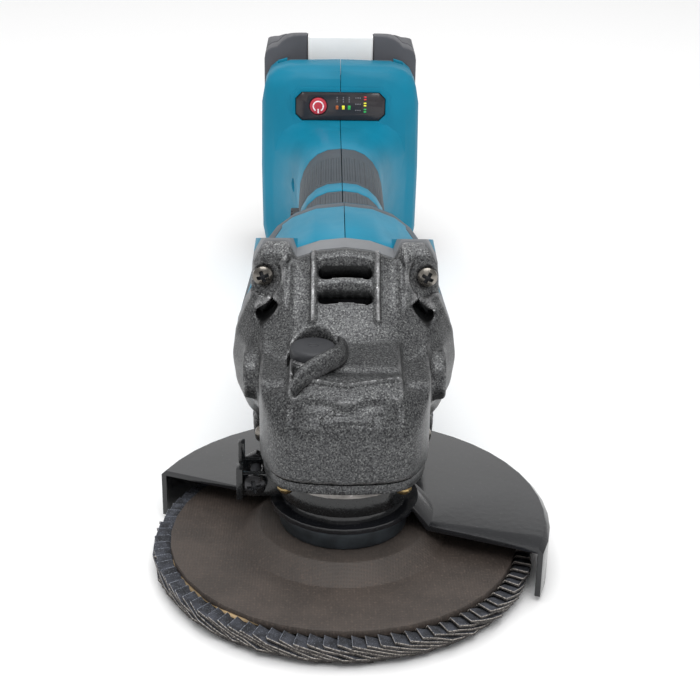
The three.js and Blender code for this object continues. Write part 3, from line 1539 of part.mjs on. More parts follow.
const shell = bodyShell();
[
  ["left", -1],
  ["right", 1],
].forEach(([name, side]) => {
  add(`housing_${name}`, common(shell, halfSpace(side)), BLUE);
  add(`motor_rubber_${name}`, rubberPiece(bootZone(-GAP), side), RUBBER_GREY);
  add(`grip_rubber_${name}`, rubberPiece(gripZone(-GAP), side), RUBBER_GREY);
});
SHELL_POSTS.forEach(({ at }, i) => add(`body_screw_${i + 1}`, bodyScrew(at), DARK_STEEL));
add("control_panel", controlPanel(), BLACK_PLASTIC);
add("power_button", powerButton(), RED);
add("power_button_spring", powerSpring(), STEEL);
add("slide_switch", slideSwitch(), BLACK_PLASTIC);
add("switch_rod", switchRod(), BLACK_PLASTIC);
add("switch_unit", switchUnit(), BLACK_PLASTIC);
add("controller_board", controllerBoard(), BOARD);
add("terminal_block", terminalBlock(), COPPER);
add("battery_cover", batteryCover(), BLACK_PLASTIC);
add("battery_case", batteryCase(), BLACK_PLASTIC);
add("battery_latch", batteryLatch(), WHITE);
add("latch_spring", latchSpring(), STEEL);
add("cell_pack", cellPack(), CELL);
add("battery_board", batteryBoard(), BOARD);

export default grinder;
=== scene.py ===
"""Looks for a cordless angle grinder with a flap disc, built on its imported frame.

Lengths are metres and +Z is up. The spindle turns about the Z axis through the origin,
the motor lies along +Y behind it, and the floor is 4 mm under the spindle's end.
"""

from __future__ import annotations

import logging
import math
from dataclasses import dataclass, field
from enum import Enum
from typing import Any, Optional, Sequence, Union

import bmesh
import bpy
import numpy as np
from mathutils import Matrix, Vector


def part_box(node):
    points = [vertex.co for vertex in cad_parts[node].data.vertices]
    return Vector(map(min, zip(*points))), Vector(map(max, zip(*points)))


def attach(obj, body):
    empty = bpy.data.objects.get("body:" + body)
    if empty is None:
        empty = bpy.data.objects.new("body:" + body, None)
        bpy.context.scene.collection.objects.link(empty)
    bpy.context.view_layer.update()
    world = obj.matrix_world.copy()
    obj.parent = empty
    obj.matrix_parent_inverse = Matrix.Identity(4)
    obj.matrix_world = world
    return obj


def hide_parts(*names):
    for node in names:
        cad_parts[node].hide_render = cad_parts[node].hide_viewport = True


LOG = logging.getLogger("grinder")
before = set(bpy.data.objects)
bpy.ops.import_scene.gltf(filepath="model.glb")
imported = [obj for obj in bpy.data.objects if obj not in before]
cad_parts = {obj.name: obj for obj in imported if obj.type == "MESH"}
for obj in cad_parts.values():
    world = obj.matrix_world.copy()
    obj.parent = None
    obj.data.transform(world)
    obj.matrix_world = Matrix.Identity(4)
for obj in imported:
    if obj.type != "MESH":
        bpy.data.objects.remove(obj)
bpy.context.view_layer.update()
MM = 0.001
FLOOR = -0.004
MOTOR_HEIGHT = 0.0575
Colour = tuple[float, float, float]
Place = tuple[float, float, float]
Piece = bpy.types.Object
Tile = tuple[float, float, float, float]
Number = Union["Socket", float]


class Body(Enum):
    """The bodies that a piece can move with."""

    BODY = "body"
    SPINDLE = "spindle"
    ROTOR = "rotor"
    BUTTON = "lock_button"
    GUARD = "guard"
    SWITCH = "slide_switch"
    POWER = "power_button"
    BATTERY = "battery"
    LATCH = "battery_latch"


class Grain(Enum):
    """How the machining marks of a metal run."""

    PLAIN = "plain"
    ROUND_SPINDLE = "round the spindle"
    ROUND_MOTOR = "round the motor"


# ---------------------------------------------------------------- shader maths
class Socket:
    """A number or colour that varies over a surface: one output of a material's nodes."""

    def __init__(self, graph: "Graph", output: bpy.types.NodeSocket) -> None:
        """Holds the output and the graph it belongs to."""
        self.graph = graph
        self.output = output

    def maths(self, operation: str, *terms: Number) -> "Socket":
        """Joins this number and the others by one Math node.

        Args:
            operation: the Math node's operation.
            terms: the numbers that go into its sockets, in order.

        Returns:
            The node's value.
        """
        return self.graph.node("ShaderNodeMath", {"operation": operation}, dict(enumerate(terms)))

    def __add__(self, other: Number) -> "Socket":
        """This plus other."""
        return self.maths("ADD", self, other)

    def __sub__(self, other: Number) -> "Socket":
        """This minus other."""
        return self.maths("SUBTRACT", self, other)

    def __rsub__(self, other: float) -> "Socket":
        """Other minus this."""
        return self.maths("SUBTRACT", other, self)

    def __mul__(self, other: Number) -> "Socket":
        """This times other."""
        return self.maths("MULTIPLY", self, other)

    def __truediv__(self, other: Number) -> "Socket":
        """This over other."""
        return self.maths("DIVIDE", self, other)

    __radd__ = __add__
    __rmul__ = __mul__

    def step(self, low: float, high: float) -> "Socket":
        """A smooth rise from 0 at low to 1 at high, or a fall where low is the larger.

        Args:
            low: where the result is 0.
            high: where the result is 1.

        Returns:
            The smooth step.
        """
        return self.graph.node(
            "ShaderNodeMapRange",
            {"interpolation_type": "SMOOTHSTEP"},
            {"Value": self, "From Min": low, "From Max": high},
        )

    def clamp(self) -> "Socket":
        """This held between 0 and 1."""
        return self.graph.node("ShaderNodeClamp", {}, {"Value": self})


def linear(colour: Colour) -> tuple[float, float, float, float]:
    """Turns a colour of 0 to 255 as a screen shows it into the linear one that light adds up in."""
    c = np.asarray(colour, float) / 255.0
    out = np.where(c <= 0.04045, c / 12.92, ((c + 0.055) / 1.055) ** 2.4)
    return (float(out[0]), float(out[1]), float(out[2]), 1.0)


class Graph:
    """The nodes of one material, round its Principled shader."""

    def __init__(self, name: str) -> None:
        """Starts a material of that name with one Principled shader."""
        self.material = bpy.data.materials.new(name)
        self.material.use_nodes = True
        self.tree = self.material.node_tree
        self.shader = self.tree.nodes["Principled BSDF"]
        self.place = self.node("ShaderNodeTexCoord", {}, {}, "Object")

    def node(
        self, kind: str, settings: dict[str, Any], inputs: dict[Any, Any], output: Any = 0
    ) -> Socket:
        """Adds one node.

        Args:
            kind: the node's type.
            settings: its own properties.
            inputs: what goes into its sockets, by name or number.
            output: the socket that is wanted, by name or number.

        Returns:
            That output.
        """
        made = self.tree.nodes.new(kind)
        for key, value in settings.items():
            setattr(made, key, value)
        for key, value in inputs.items():
            self.feed(made.inputs[key], value)
        return Socket(self, made.outputs[output])

    def feed(self, target: bpy.types.NodeSocket, value: Any) -> None:
        """Links an output to a socket, or sets the socket's own value."""
        if isinstance(value, Socket):
            self.tree.links.new(value.output, target)
        else:
            target.default_value = value

    def dress(self, **inputs: Any) -> None:
        """Sets the shader's sockets; an underscore stands for a space in a socket's name."""
        for key, value in inputs.items():
            self.feed(self.shader.inputs[key.replace("_", " ")], value)

    def scaled(self, scale: Place = (1, 1, 1), place: Optional[Socket] = None) -> Socket:
        """The place on the object, stretched along each axis."""
        return self.node("ShaderNodeMapping", {}, {"Vector": place or self.place, "Scale": scale})

    def noise(
        self, size: float, detail: float = 2.0, stretch: Place = (1, 1, 1), place: Optional[Socket] = None
    ) -> Socket:
        """A cloudy pattern.

        Args:
            size: the size of its blotches in metres.
            detail: how many finer layers it has.
            stretch: how much finer it runs along each axis.
            place: what it is laid on, or the object's own place.

        Returns:
            A number about 0.5.
        """
        return self.node(
            "ShaderNodeTexNoise",
            {},
            {"Vector": self.scaled(stretch, place), "Scale": 1 / size, "Detail": detail},
        )

    def axis(self, index: int) -> Socket:
        """One coordinate of the place, in metres."""
        return self.node("ShaderNodeSeparateXYZ", {}, {0: self.place}, index)

    def radius(self, first: int, second: int, centre: tuple[float, float] = (0, 0)) -> Socket:
        """The distance from an axis.

        Args:
            first: one coordinate across the axis.
            second: the other coordinate across it.
            centre: where the axis is in those two.

        Returns:
            The distance in metres.
        """
        a, b = self.axis(first) - centre[0], self.axis(second) - centre[1]
        return (a * a + b * b).maths("SQRT", a * a + b * b)

    def angle(self, first: int, second: int, centre: tuple[float, float]) -> Socket:
        """The angle round an axis in radians, from the same values as radius."""
        a = self.axis(first) - centre[0]
        return a.maths("ARCTAN2", a, self.axis(second) - centre[1])

    def mix(self, factor: Number, a: Any, b: Any) -> Socket:
        """A colour between a and b; each is a Socket or a linear colour."""
        return self.node("ShaderNodeMix", {"data_type": "RGBA"}, {0: factor, 6: a, 7: b}, 2)

    def shade(self, factor: Number, low: Colour, high: Colour) -> Socket:
        """A colour between two screen colours."""
        return self.mix(factor, linear(low), linear(high))

    def attribute(self, name: str) -> Socket:
        """A number stored on the mesh, 0 where it has none."""
        return self.node("ShaderNodeAttribute", {"attribute_name": name}, {}, "Fac")

    def bump(self, height: Socket, depth: float, under: Optional[Socket] = None) -> Socket:
        """Turns a height of 0 to 1 into a bent normal.

        Args:
            height: the height.
            depth: how far 1 stands above 0, in metres.
            under: a bent normal that this one is added to.

        Returns:
            The normal.
        """
        inputs: dict[Any, Any] = {"Height": height, "Distance": depth, "Strength": 1.0}
        if under is not None:
            inputs["Normal"] = under
        return self.node("ShaderNodeBump", {}, inputs)


# ---------------------------------------------------------------- finishes
@dataclass(frozen=True)
class Finish:
    """A finish with a name and a main colour; the kinds below say how it is made."""

    name: str
    colour: Colour

    def material(self) -> bpy.types.Material:
        """The material, made the first time it is asked for."""
        title = self.name + "_finish"
        known = bpy.data.materials.get(title)
        if known is not None:
            return known
        graph = Graph(title)
        self.paint(graph)
        return graph.material

    def paint(self, g: Graph) -> None:
        """Adds the nodes of this finish to the graph."""
        raise NotImplementedError

    def tone(self, amount: float) -> Colour:
        """The main colour, made lighter or darker by a share of itself."""
        return tuple(min(255.0, max(0.0, c * (1 + amount))) for c in self.colour)


@dataclass(frozen=True)
class Moulded(Finish):
    """Moulded plastic or rubber: a fine spark-eroded grain, faint clouding, and edges lightened where the
    mesh marks them as rubbed and as a painted highlight.
    """

    roughness: float = 0.42
    grain: float = 0.00045
    depth: float = 0.00002
    mottle: float = 0.05
    coat: float = 0.0
    shine: float = 0.3

    def paint(self, g: Graph) -> None:
        """Clouds the colour, breaks up the gloss and adds the grain."""
        cloud, fine = g.noise(0.03, 3), g.noise(self.grain, 2)
        base = g.shade(cloud.step(0.3, 0.7), self.tone(-self.mottle), self.tone(self.mottle))
        worn_and_lit = g.attribute("wear_and_highlight").clamp()
        base = g.mix(worn_and_lit * 0.4, base, linear(self.tone(0.35)))
        g.dress(Base_Color=base, Roughness=self.roughness + (g.noise(0.006, 4) - 0.5) * 0.14)
        g.dress(Coat_Weight=self.coat, Specular_IOR_Level=self.shine, Normal=self.relief(g, fine))

    def relief(self, g: Graph, fine: Socket) -> Socket:
        """The bent normal of the grain."""
        return g.bump(fine, self.depth, g.bump(g.noise(0.004, 2), 0.00003))


@dataclass(frozen=True)
class Ribbed(Moulded):
    """Grip rubber with fine ribs that run lengthways, in bands between two stations along Y."""

    bands: tuple[tuple[float, float], ...] = ((0.099, 0.139), (0.151, 0.191))
    ribs: int = 66
    rise: float = 0.0005

    def relief(self, g: Graph, fine: Socket) -> Socket:
        """Ribs round the grip, faded out at the ends of each band, over the grain."""
        along = g.axis(1)
        turn = g.angle(0, 2, (0.0, MOTOR_HEIGHT)) * float(self.ribs)
        wave = (turn.maths("SINE", turn) * 0.5 + 0.5).step(0.15, 0.85)
        mask: Number = 0.0
        for start, end in self.bands:
            mask = along.step(start + 0.002, start + 0.003) * along.step(end - 0.002, end - 0.003) + mask
        return g.bump(fine, self.depth, g.bump(wave * mask, self.rise))


@dataclass(frozen=True)
class Cast(Finish):
    """Die-cast metal under a speckled metallic paint, rubbed bright along its edges, where the brightness
    is also a painted highlight, with painted shade in its vents and hollows.
    """

    light: Colour = (150, 152, 150)
    dark: Colour = (46, 46, 48)
    roughness: float = 0.38

    def paint(self, g: Graph) -> None:
        """Speckles the paint, roughens it, shows bare metal and a painted highlight where the mesh marks
        proud edges, and paints near-black shade where it marks vents and hollows.
        """
        speck = g.noise(0.0006, 2)
        dust = g.noise(0.00052, 1)
        base = g.shade(speck.step(0.38, 0.6), self.dark, self.colour)
        base = g.mix(dust.step(0.55, 0.7) * 0.45, base, linear(self.light))
        patchy = g.noise(0.0035, 4).step(0.38, 0.62)
        # Rubbed bare metal on proud edges, which is partly a painted highlight.
        worn_and_lit = (g.attribute("wear_and_highlight").step(0.25, 0.95) * (patchy * 0.7 + 0.3)).clamp()
        base = g.mix(worn_and_lit * 0.55, base, linear((188, 188, 189)))
        # Painted shade: near black where the mesh marks vents, ducts, slots and hollows.
        base = g.mix(g.attribute("painted_shade").clamp() * 0.93, base, linear((14, 15, 16)))
        rough = (1 - worn_and_lit * 0.3) * (self.roughness + (speck - 0.5) * 0.2)
        g.dress(Base_Color=base, Roughness=rough, Metallic=0.62 + worn_and_lit * 0.2)
        g.dress(Normal=g.bump(speck, 0.00004, g.bump(g.noise(0.0022, 3), 0.00004)))


@dataclass(frozen=True)
class Gloss(Finish):
    """Thick glossy paint with a slow orange-peel ripple."""

    roughness: float = 0.16
    ripple: float = 0.0021
    depth: float = 0.00003

    def paint(self, g: Graph) -> None:
        """Ripples the paint, dusts it and lightens the edges that the mesh marks as rubbed and as a painted
        highlight.
        """
        dust = g.noise(0.0007, 3)
        base = g.shade(g.noise(0.02, 3).step(0.3, 0.7), self.tone(-0.15), self.tone(0.15))
        worn_and_lit = g.attribute("wear_and_highlight").step(0.3, 1.0)
        base = g.mix(worn_and_lit * 0.5, base, linear(self.tone(2.2)))
        g.dress(Base_Color=base, Roughness=self.roughness + dust.step(0.45, 0.8) * 0.14)
        g.dress(Coat_Weight=0.12, Coat_Roughness=0.08, Specular_IOR_Level=0.5)
        g.dress(Normal=g.bump(g.noise(self.ripple, 1), self.depth, g.bump(dust, 0.000006)))


@dataclass(frozen=True)
class Steel(Finish):
    """Machined or plated metal with turning marks."""

    roughness: float = 0.28
    grain: Grain = Grain.PLAIN
    metallic: float = 1.0

    def paint(self, g: Graph) -> None:
        """Streaks the metal along the way it was machined."""
        marks = self._marks(g)
        stain = g.noise(0.006, 4).step(0.35, 0.7)
        base = g.shade(stain, self.tone(-0.22), self.tone(0.04))
        g.dress(Base_Color=base, Metallic=self.metallic)
        g.dress(Roughness=(marks - 0.5) * 0.3 + stain * 0.08 + self.roughness)
        g.dress(Normal=g.bump(marks, 0.00001))

    def _marks(self, g: Graph) -> Socket:
        """Fine lines: rings round the spindle's or the motor's axis, or a plain fine grain."""
        if self.grain is Grain.PLAIN:
            return g.noise(0.0004, 3, (1, 6, 1))
        axis = 2 if self.grain is Grain.ROUND_SPINDLE else 1
        across = (0, 1) if axis == 2 else (0, 2)
        centre = (0.0, 0.0) if axis == 2 else (0.0, MOTOR_HEIGHT)
        place = g.node(
            "ShaderNodeCombineXYZ", {}, {0: g.radius(*across, centre), 1: g.axis(axis)}
        )
        return g.noise(0.0003, 2, place=place)


@dataclass(frozen=True)
class Fibre(Finish):
    """The disc's pressed glass-fibre plate: a woven mesh in brown resin, darker towards its hub."""

    def paint(self, g: Graph) -> None:
        """Weaves a fine mesh, clouds the resin and darkens the middle."""
        r = g.radius(0, 1)
        weave = self._thread(g, 0) * self._thread(g, 1)
        cloud = g.noise(0.011, 5).step(0.3, 0.72)
        fleck = g.noise(0.0009, 4).step(0.5, 0.75)
        base = g.shade(cloud, self.tone(-0.1), self.tone(0.1))
        base = g.mix(fleck * 0.35, base, linear(self.tone(0.75)))
        base = g.mix(weave * 0.22, base, linear(self.tone(-0.5)))
        base = g.mix(r.step(0.034, 0.024) * 0.4, base, linear((54, 50, 47)))
        g.dress(Base_Color=base, Roughness=0.62 + fleck * 0.2)
        g.dress(Normal=g.bump(weave, 0.00006, g.bump(g.noise(0.0006, 3), 0.00005)))

    def _thread(self, g: Graph, index: int) -> Socket:
        """The ridges of the threads that run across one axis, 0.9 mm apart."""
        turn = g.axis(index) * (math.tau / 0.0009) + g.noise(0.01, 2) * 3
        return turn.maths("SINE", turn) * 0.5 + 0.5


@dataclass(frozen=True)
class Grit(Finish):
    """Abrasive cloth: dark backing with grains that catch the light."""

    glint: Colour = (150, 156, 168)
    lip: bool = False

    def paint(self, g: Graph) -> None:
        """Scatters grains over the cloth and frays its colour."""
        grain = g.noise(0.00045, 3)
        cloth = g.noise(0.003, 4).step(0.3, 0.7)
        base = g.shade(cloth, self.tone(-0.3), self.tone(0.35))
        shine = grain.step(0.56, 0.72) * 0.6
        if self.lip:
            thread = g.attribute("wear_and_highlight").step(0.5, 0.98) * grain.step(0.3, 0.6)
            shine = (shine * 0.5 + thread * 0.9).clamp()
        base = g.mix(shine, base, linear(self.glint))
        g.dress(Base_Color=base, Roughness=0.85 - grain.step(0.5, 0.7) * 0.3)
        g.dress(Normal=g.bump(grain, 0.00025))


@dataclass(frozen=True)
class Glow(Finish):
    """A small printed or lit mark behind a clear window; a print that is given strength glows as painted
    light.
    """

    strength: float = 0.0

    def paint(self, g: Graph) -> None:
        """Colours the mark a little unevenly and lets it shine."""
        uneven = g.noise(0.0004, 2).step(0.3, 0.7)
        base = g.shade(uneven, self.tone(-0.15), self.tone(0.1))
        g.dress(Base_Color=base, Roughness=0.35 + uneven * 0.1, Emission_Color=base)
        g.dress(Emission_Strength=self.strength)


@dataclass(frozen=True)
class Wound(Finish):
    """Layers in turns or sheets along one axis, such as laminations or windings."""

    pitch: float = 0.0006
    axis: int = 1
    metallic: float = 0.8

    def paint(self, g: Graph) -> None:
        """Grooves between the layers, each layer a little different."""
        turn = g.axis(self.axis) * (math.tau / self.pitch)
        wave = turn.maths("SINE", turn) * 0.5 + 0.5
        base = g.shade(wave.step(0.1, 0.6), self.tone(-0.55), self.tone(0.1))
        g.dress(Base_Color=base, Metallic=self.metallic, Roughness=0.4 + g.noise(0.003, 3) * 0.2)
        g.dress(Normal=g.bump(wave, self.pitch * 0.3))


BLUE = Moulded("blue_plastic", (14, 124, 154), roughness=0.42, mottle=0.035, shine=0.2)
GREY_RING = Moulded("grey_plastic", (122, 124, 127), roughness=0.55)
CHARCOAL = Moulded("battery_plastic", (84, 85, 90), roughness=0.5, grain=0.0007, depth=0.00004)
BLACK_AND_RECESS_SHADE = Moulded("black_plastic", (46, 47, 50), roughness=0.55)
PANEL = Moulded("panel_plastic", (50, 46, 49), roughness=0.3, grain=0.0004, coat=0.3)
WHITE = Moulded("white_plastic", (253, 252, 250), roughness=0.38, mottle=0.02)
RED = Moulded("red_button", (196, 62, 74), roughness=0.35, mottle=0.08)
RUBBER = Moulded("boot_rubber", (84, 92, 99), roughness=0.62, grain=0.0006, depth=0.00004)
GRIP = Ribbed("grip_rubber", (70, 77, 83), roughness=0.6, grain=0.0006, depth=0.00004)
CAST = Cast("cast_head", (84, 85, 86))
BUTTON = Moulded("button_plastic", (58, 59, 62), roughness=0.45)
PAINT = Gloss("guard_paint", (22, 23, 26))
BAND_PAINT = Gloss("band_paint", (14, 16, 18), roughness=0.2, ripple=0.0015, depth=0.00005)
BRIGHT = Steel("bright_steel", (244, 243, 240), roughness=0.16, grain=Grain.ROUND_SPINDLE, metallic=0.7)
PLAIN_STEEL = Steel("plain_steel", (176, 176, 178), roughness=0.3)
MOTOR_STEEL = Steel("motor_steel", (176, 176, 180), roughness=0.28, grain=Grain.ROUND_MOTOR)
DARK_STEEL = Steel("dark_steel", (52, 56, 61), roughness=0.38, grain=Grain.ROUND_SPINDLE, metallic=0.7)
SCREW_BLACK = Steel("black_screw", (150, 145, 138), roughness=0.24)
SCREW_DARK = Steel("dark_screw", (66, 66, 68), roughness=0.18, metallic=0.85)
SCREW_GOLD = Steel("gold_screw", (196, 170, 120), roughness=0.3)
FLANGE = Steel("flange_steel", (58, 64, 69), roughness=0.42, grain=Grain.ROUND_SPINDLE, metallic=0.5)
PLATE = Fibre("fibre_plate", (66, 58, 53))
CLOTH = Grit("abrasive_cloth", (50, 52, 58), lip=True)
FRAY = Grit("frayed_edge", (46, 43, 42), glint=(196, 188, 178), lip=True)
GLUE = Moulded("glue", (150, 129, 98), roughness=0.6, grain=0.0009, depth=0.0003, mottle=0.35)
PRINT = Glow("panel_print", (128, 124, 128))
# The printed power sign is given a faint glow of painted light.
PRINT_WITH_PAINTED_GLOW = Glow("power_print_painted_glow", (255, 226, 230), strength=0.25)
AMBER = Glow("amber_lamp", (176, 92, 40), strength=0.3)
YELLOW = Glow("yellow_lamp", (236, 226, 60), strength=0.5)
GREEN = Glow("green_lamp", (40, 176, 84), strength=0.4)
RED_LIGHT = Glow("red_lamp", (206, 44, 52), strength=0.4)
LAMINATION = Wound("lamination", (120, 122, 126))
WINDING = Wound("winding", (176, 104, 58), pitch=0.0009, metallic=0.9)
BOARD = Moulded("circuit_board", (30, 88, 58), roughness=0.35, grain=0.002, depth=0.00005, mottle=0.2)
CELLS = Moulded("cell_wrap", (60, 124, 164), roughness=0.3, mottle=0.08)


# ---------------------------------------------------------------- mesh building
def build(name: str, points: np.ndarray, faces: Sequence[np.ndarray], closed: bool = True) -> Piece:
    """Puts points and faces into a new object at the origin.

    Args:
        name: the object's name.
        points: one row of x, y, z in metres for each point.
        faces: arrays of point numbers, each array with one number of corners.
        closed: whether the mesh has an inside, so that its faces can be turned outwards.

    Returns:
        The object.
    """
    mesh = bpy.data.meshes.new(name)
    mesh.vertices.add(len(points))
    mesh.vertices.foreach_set("co", np.ascontiguousarray(points, np.float32).ravel())
    corners = np.concatenate([f.ravel() for f in faces]).astype(np.int32)
    sizes = np.concatenate([np.full(len(f), f.shape[1]) for f in faces]).astype(np.int32)
    mesh.loops.add(len(corners))
    mesh.loops.foreach_set("vertex_index", corners)
    mesh.polygons.add(len(sizes))
    mesh.polygons.foreach_set("loop_start", np.concatenate([[0], np.cumsum(sizes)[:-1]]).astype(np.int32))
    mesh.update(calc_edges=True)
    mesh.validate()
    if closed:
        work = bmesh.new()
        work.from_mesh(mesh)
        bmesh.ops.remove_doubles(work, verts=work.verts, dist=1e-6)
        bmesh.ops.recalc_face_normals(work, faces=work.faces)
        work.to_mesh(mesh)
        work.free()
    made = bpy.data.objects.new(name, mesh)
    bpy.context.scene.collection.objects.link(made)
    return made


def grid_faces(rows: int, columns: int, wrap_rows: bool = False, wrap_columns: bool = False) -> np.ndarray:
    """The four-cornered faces of a grid of points, which may close on itself either way.

    Args:
        rows: how many rows of points there are.
        columns: how many points a row has.
        wrap_rows: whether the last row joins the first.
        wrap_columns: whether the last point of a row joins its first.

    Returns:
        One row of four point numbers for each face.
    """
    i, j = np.meshgrid(
        np.arange(rows if wrap_rows else rows - 1),
        np.arange(columns if wrap_columns else columns - 1),
        indexing="ij",
    )
    a, b = (i + 1) % rows, (j + 1) % columns
    quads = [i * columns + j, i * columns + b, a * columns + b, a * columns + j]
    return np.stack([q.ravel() for q in quads], axis=1)


def tube_skin(grid: np.ndarray) -> tuple[np.ndarray, list[np.ndarray]]:
    """Closes a grid whose rows are rings into a solid skin with a flat fan at each end.

    Args:
        grid: rows of rings of points.

    Returns:
        The points and the faces.
    """
    rows, columns = grid.shape[:2]
    points = np.concatenate([grid.reshape(-1, 3), grid[0].mean(0)[None], grid[-1].mean(0)[None]])
    ring = np.arange(columns)
    after = (ring + 1) % columns
    first, last = rows * columns, rows * columns + 1
    near = np.stack([after, ring, np.full(columns, first)], axis=1)
    base = (rows - 1) * columns
    far = np.stack([base + ring, base + after, np.full(columns, last)], axis=1)
    return points, [grid_faces(rows, columns, wrap_columns=True), near, far]


def carried(
    path: np.ndarray, profile: np.ndarray, up: Place, widths: Optional[np.ndarray] = None
) -> np.ndarray:
    """Carries a closed profile along a path: point + side * u * width + up * v * width.

    Args:
        path: the points of the path.
        profile: the profile's u and v, u to the side of the path and v upwards.
        up: the direction that v follows.
        widths: how much the profile is scaled at each point, for u and v.

    Returns:
        A grid with one ring for each point of the path.
    """
    along = np.gradient(path, axis=0)
    along /= np.linalg.norm(along, axis=1, keepdims=True)
    side = np.cross(along, np.asarray(up, float))
    side /= np.linalg.norm(side, axis=1, keepdims=True)
    rise = np.cross(side, along)
    scale = np.ones((len(path), 2)) if widths is None else widths
    u = profile[None, :, 0, None] * scale[:, 0, None, None]
    v = profile[None, :, 1, None] * scale[:, 1, None, None]
    return path[:, None] + side[:, None] * u + rise[:, None] * v


def round_profile(half_width: float, half_height: float, sides: int = 12, power: float = 2.0) -> np.ndarray:
    """A closed oval profile, squarer as the power grows: sign(cos)|cos|^(2/p), sign(sin)|sin|^(2/p)."""
    t = np.linspace(0, math.tau, sides, endpoint=False)
    c, s = np.cos(t), np.sin(t)
    bend = 2 / power
    return np.stack(
        [half_width * np.sign(c) * np.abs(c) ** bend, half_height * np.sign(s) * np.abs(s) ** bend], 1
    )


def beaded(name: str, path: np.ndarray, out: np.ndarray, profile: np.ndarray) -> Piece:
    """A closed bead round a level path: point + out * u + up * v for each u, v of its profile.

    Args:
        name: the bead's name.
        path: the points of the closed path.
        out: the level direction that u follows at each point.
        profile: the profile's u and v.

    Returns:
        The bead.
    """
    up = np.array([0, 0, 1.0])
    grid = path[:, None] + out[:, None] * profile[None, :, 0, None] + up * profile[None, :, 1, None]
    return build(name, grid.reshape(-1, 3), [grid_faces(len(path), len(profile), True, True)])


def node_mesh(node: str) -> tuple[np.ndarray, np.ndarray]:
    """The points and triangles of a CAD node, with the points that coincide merged.

    Args:
        node: the node's name.

    Returns:
        The points, and three point numbers for each triangle.
    """
    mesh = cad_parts[node].data
    points = np.empty(len(mesh.vertices) * 3, np.float32)
    mesh.vertices.foreach_get("co", points)
    corners = np.empty(len(mesh.loops), np.int32)
    mesh.loops.foreach_get("vertex_index", corners)
    points = points.reshape(-1, 3).astype(float)
    keys = np.round(points / 2e-6).astype(np.int64)
    _, first, index = np.unique(keys, axis=0, return_index=True, return_inverse=True)
    triangles = index.reshape(-1)[corners].reshape(-1, 3)
    a, b, c = triangles.T
    return points[first], triangles[(a != b) & (b != c) & (c != a)]


def applied(piece: Piece) -> None:
    """Turns a piece's modifiers into its mesh."""
    graph = bpy.context.evaluated_depsgraph_get()
    mesh = bpy.data.meshes.new_from_object(piece.evaluated_get(graph))
    piece.modifiers.clear()
    old = piece.data
    piece.data = mesh
    bpy.data.meshes.remove(old)


def evened(piece: Piece, voxel: float) -> None:
    """Rebuilds a closed piece's skin from even faces of that size in metres."""
    even = piece.modifiers.new("even", "REMESH")
    even.mode, even.voxel_size, even.adaptivity = "VOXEL", voxel, 0.0
    applied(piece)


def mesh_points(piece: Piece) -> np.ndarray:
    """A piece's points, one row each."""
    points = np.empty(len(piece.data.vertices) * 3, np.float32)
    piece.data.vertices.foreach_get("co", points)
    return points.reshape(-1, 3).astype(float)


def mesh_edges(piece: Piece) -> np.ndarray:
    """A piece's edges, two point numbers each."""
    edges = np.empty(len(piece.data.edges) * 2, np.int32)
    piece.data.edges.foreach_get("vertices", edges)
    return edges.reshape(-1, 2)


def set_points(piece: Piece, points: np.ndarray) -> None:
    """Moves a piece's points."""
    piece.data.vertices.foreach_set("co", np.ascontiguousarray(points, np.float32).ravel())
    piece.data.update()


def neighbours_mean(values: np.ndarray, edges: np.ndarray, count: np.ndarray) -> np.ndarray:
    """The mean of each point's neighbours.

    Args:
        values: one row of values for each point.
        edges: the edges of the mesh.
        count: how many neighbours each point has.

    Returns:
        The means, one row for each point.
    """
    total = np.empty_like(values)
    for k in range(values.shape[1]):
        column = values[:, k]
        total[:, k] = np.bincount(edges[:, 0], column[edges[:, 1]], len(values))
        total[:, k] += np.bincount(edges[:, 1], column[edges[:, 0]], len(values))
    return total / count[:, None]


def softened(piece: Piece, rounds: int, share: Union[float, np.ndarray] = 0.5) -> None:
    """Rounds a piece's corners: each point moves part of the way to the mean of its neighbours.

    Args:
        piece: the piece.
        rounds: how often the points move.
        share: the share of the way that they move, for all points or one for each.
    """
    points, edges = mesh_points(piece), mesh_edges(piece)
    count = np.maximum(np.bincount(edges.ravel(), minlength=len(points)), 1).astype(float)
    step = np.reshape(share, (-1, 1))
    for _ in range(rounds):
        points += step * (neighbours_mean(points, edges, count) - points)
    set_points(piece, points)


def rise(value: np.ndarray, low: float, high: float) -> np.ndarray:
    """A smooth step from 0 at low to 1 at high, 3t^2 - 2t^3, or a fall where low is the larger."""
    t = np.clip((value - low) / (high - low), 0, 1)
    return t * t * (3 - 2 * t)


def store(piece: Piece, name: str, values: np.ndarray) -> None:
    """Keeps one number for each point of a piece, for its finish to read."""
    layer = piece.data.attributes.new(name, "FLOAT", "POINT")
    layer.data.foreach_set("value", values.astype(np.float32))


def curve_through(knots: Sequence[Sequence[float]], count: int) -> np.ndarray:
    """A smooth curve through knots of x, y, z in millimetres, as a Catmull-Rom spline.

    Args:
        knots: the points that it passes.
        count: how many points it gets.

    Returns:
        Its points in metres.
    """
    k = np.asarray(knots, float) * MM
    k = np.concatenate([2 * k[:1] - k[1:2], k, 2 * k[-1:] - k[-2:-1]])
    t = np.linspace(0, len(k) - 3 - 1e-9, count)
    i = t.astype(int)
    u = (t - i)[:, None]
    a, b, c, d = k[i], k[i + 1], k[i + 2], k[i + 3]
    return 0.5 * (2 * b + (c - a) * u + (2 * a - 5 * b + 4 * c - d) * u**2 + (3 * b - a - 3 * c + d) * u**3)


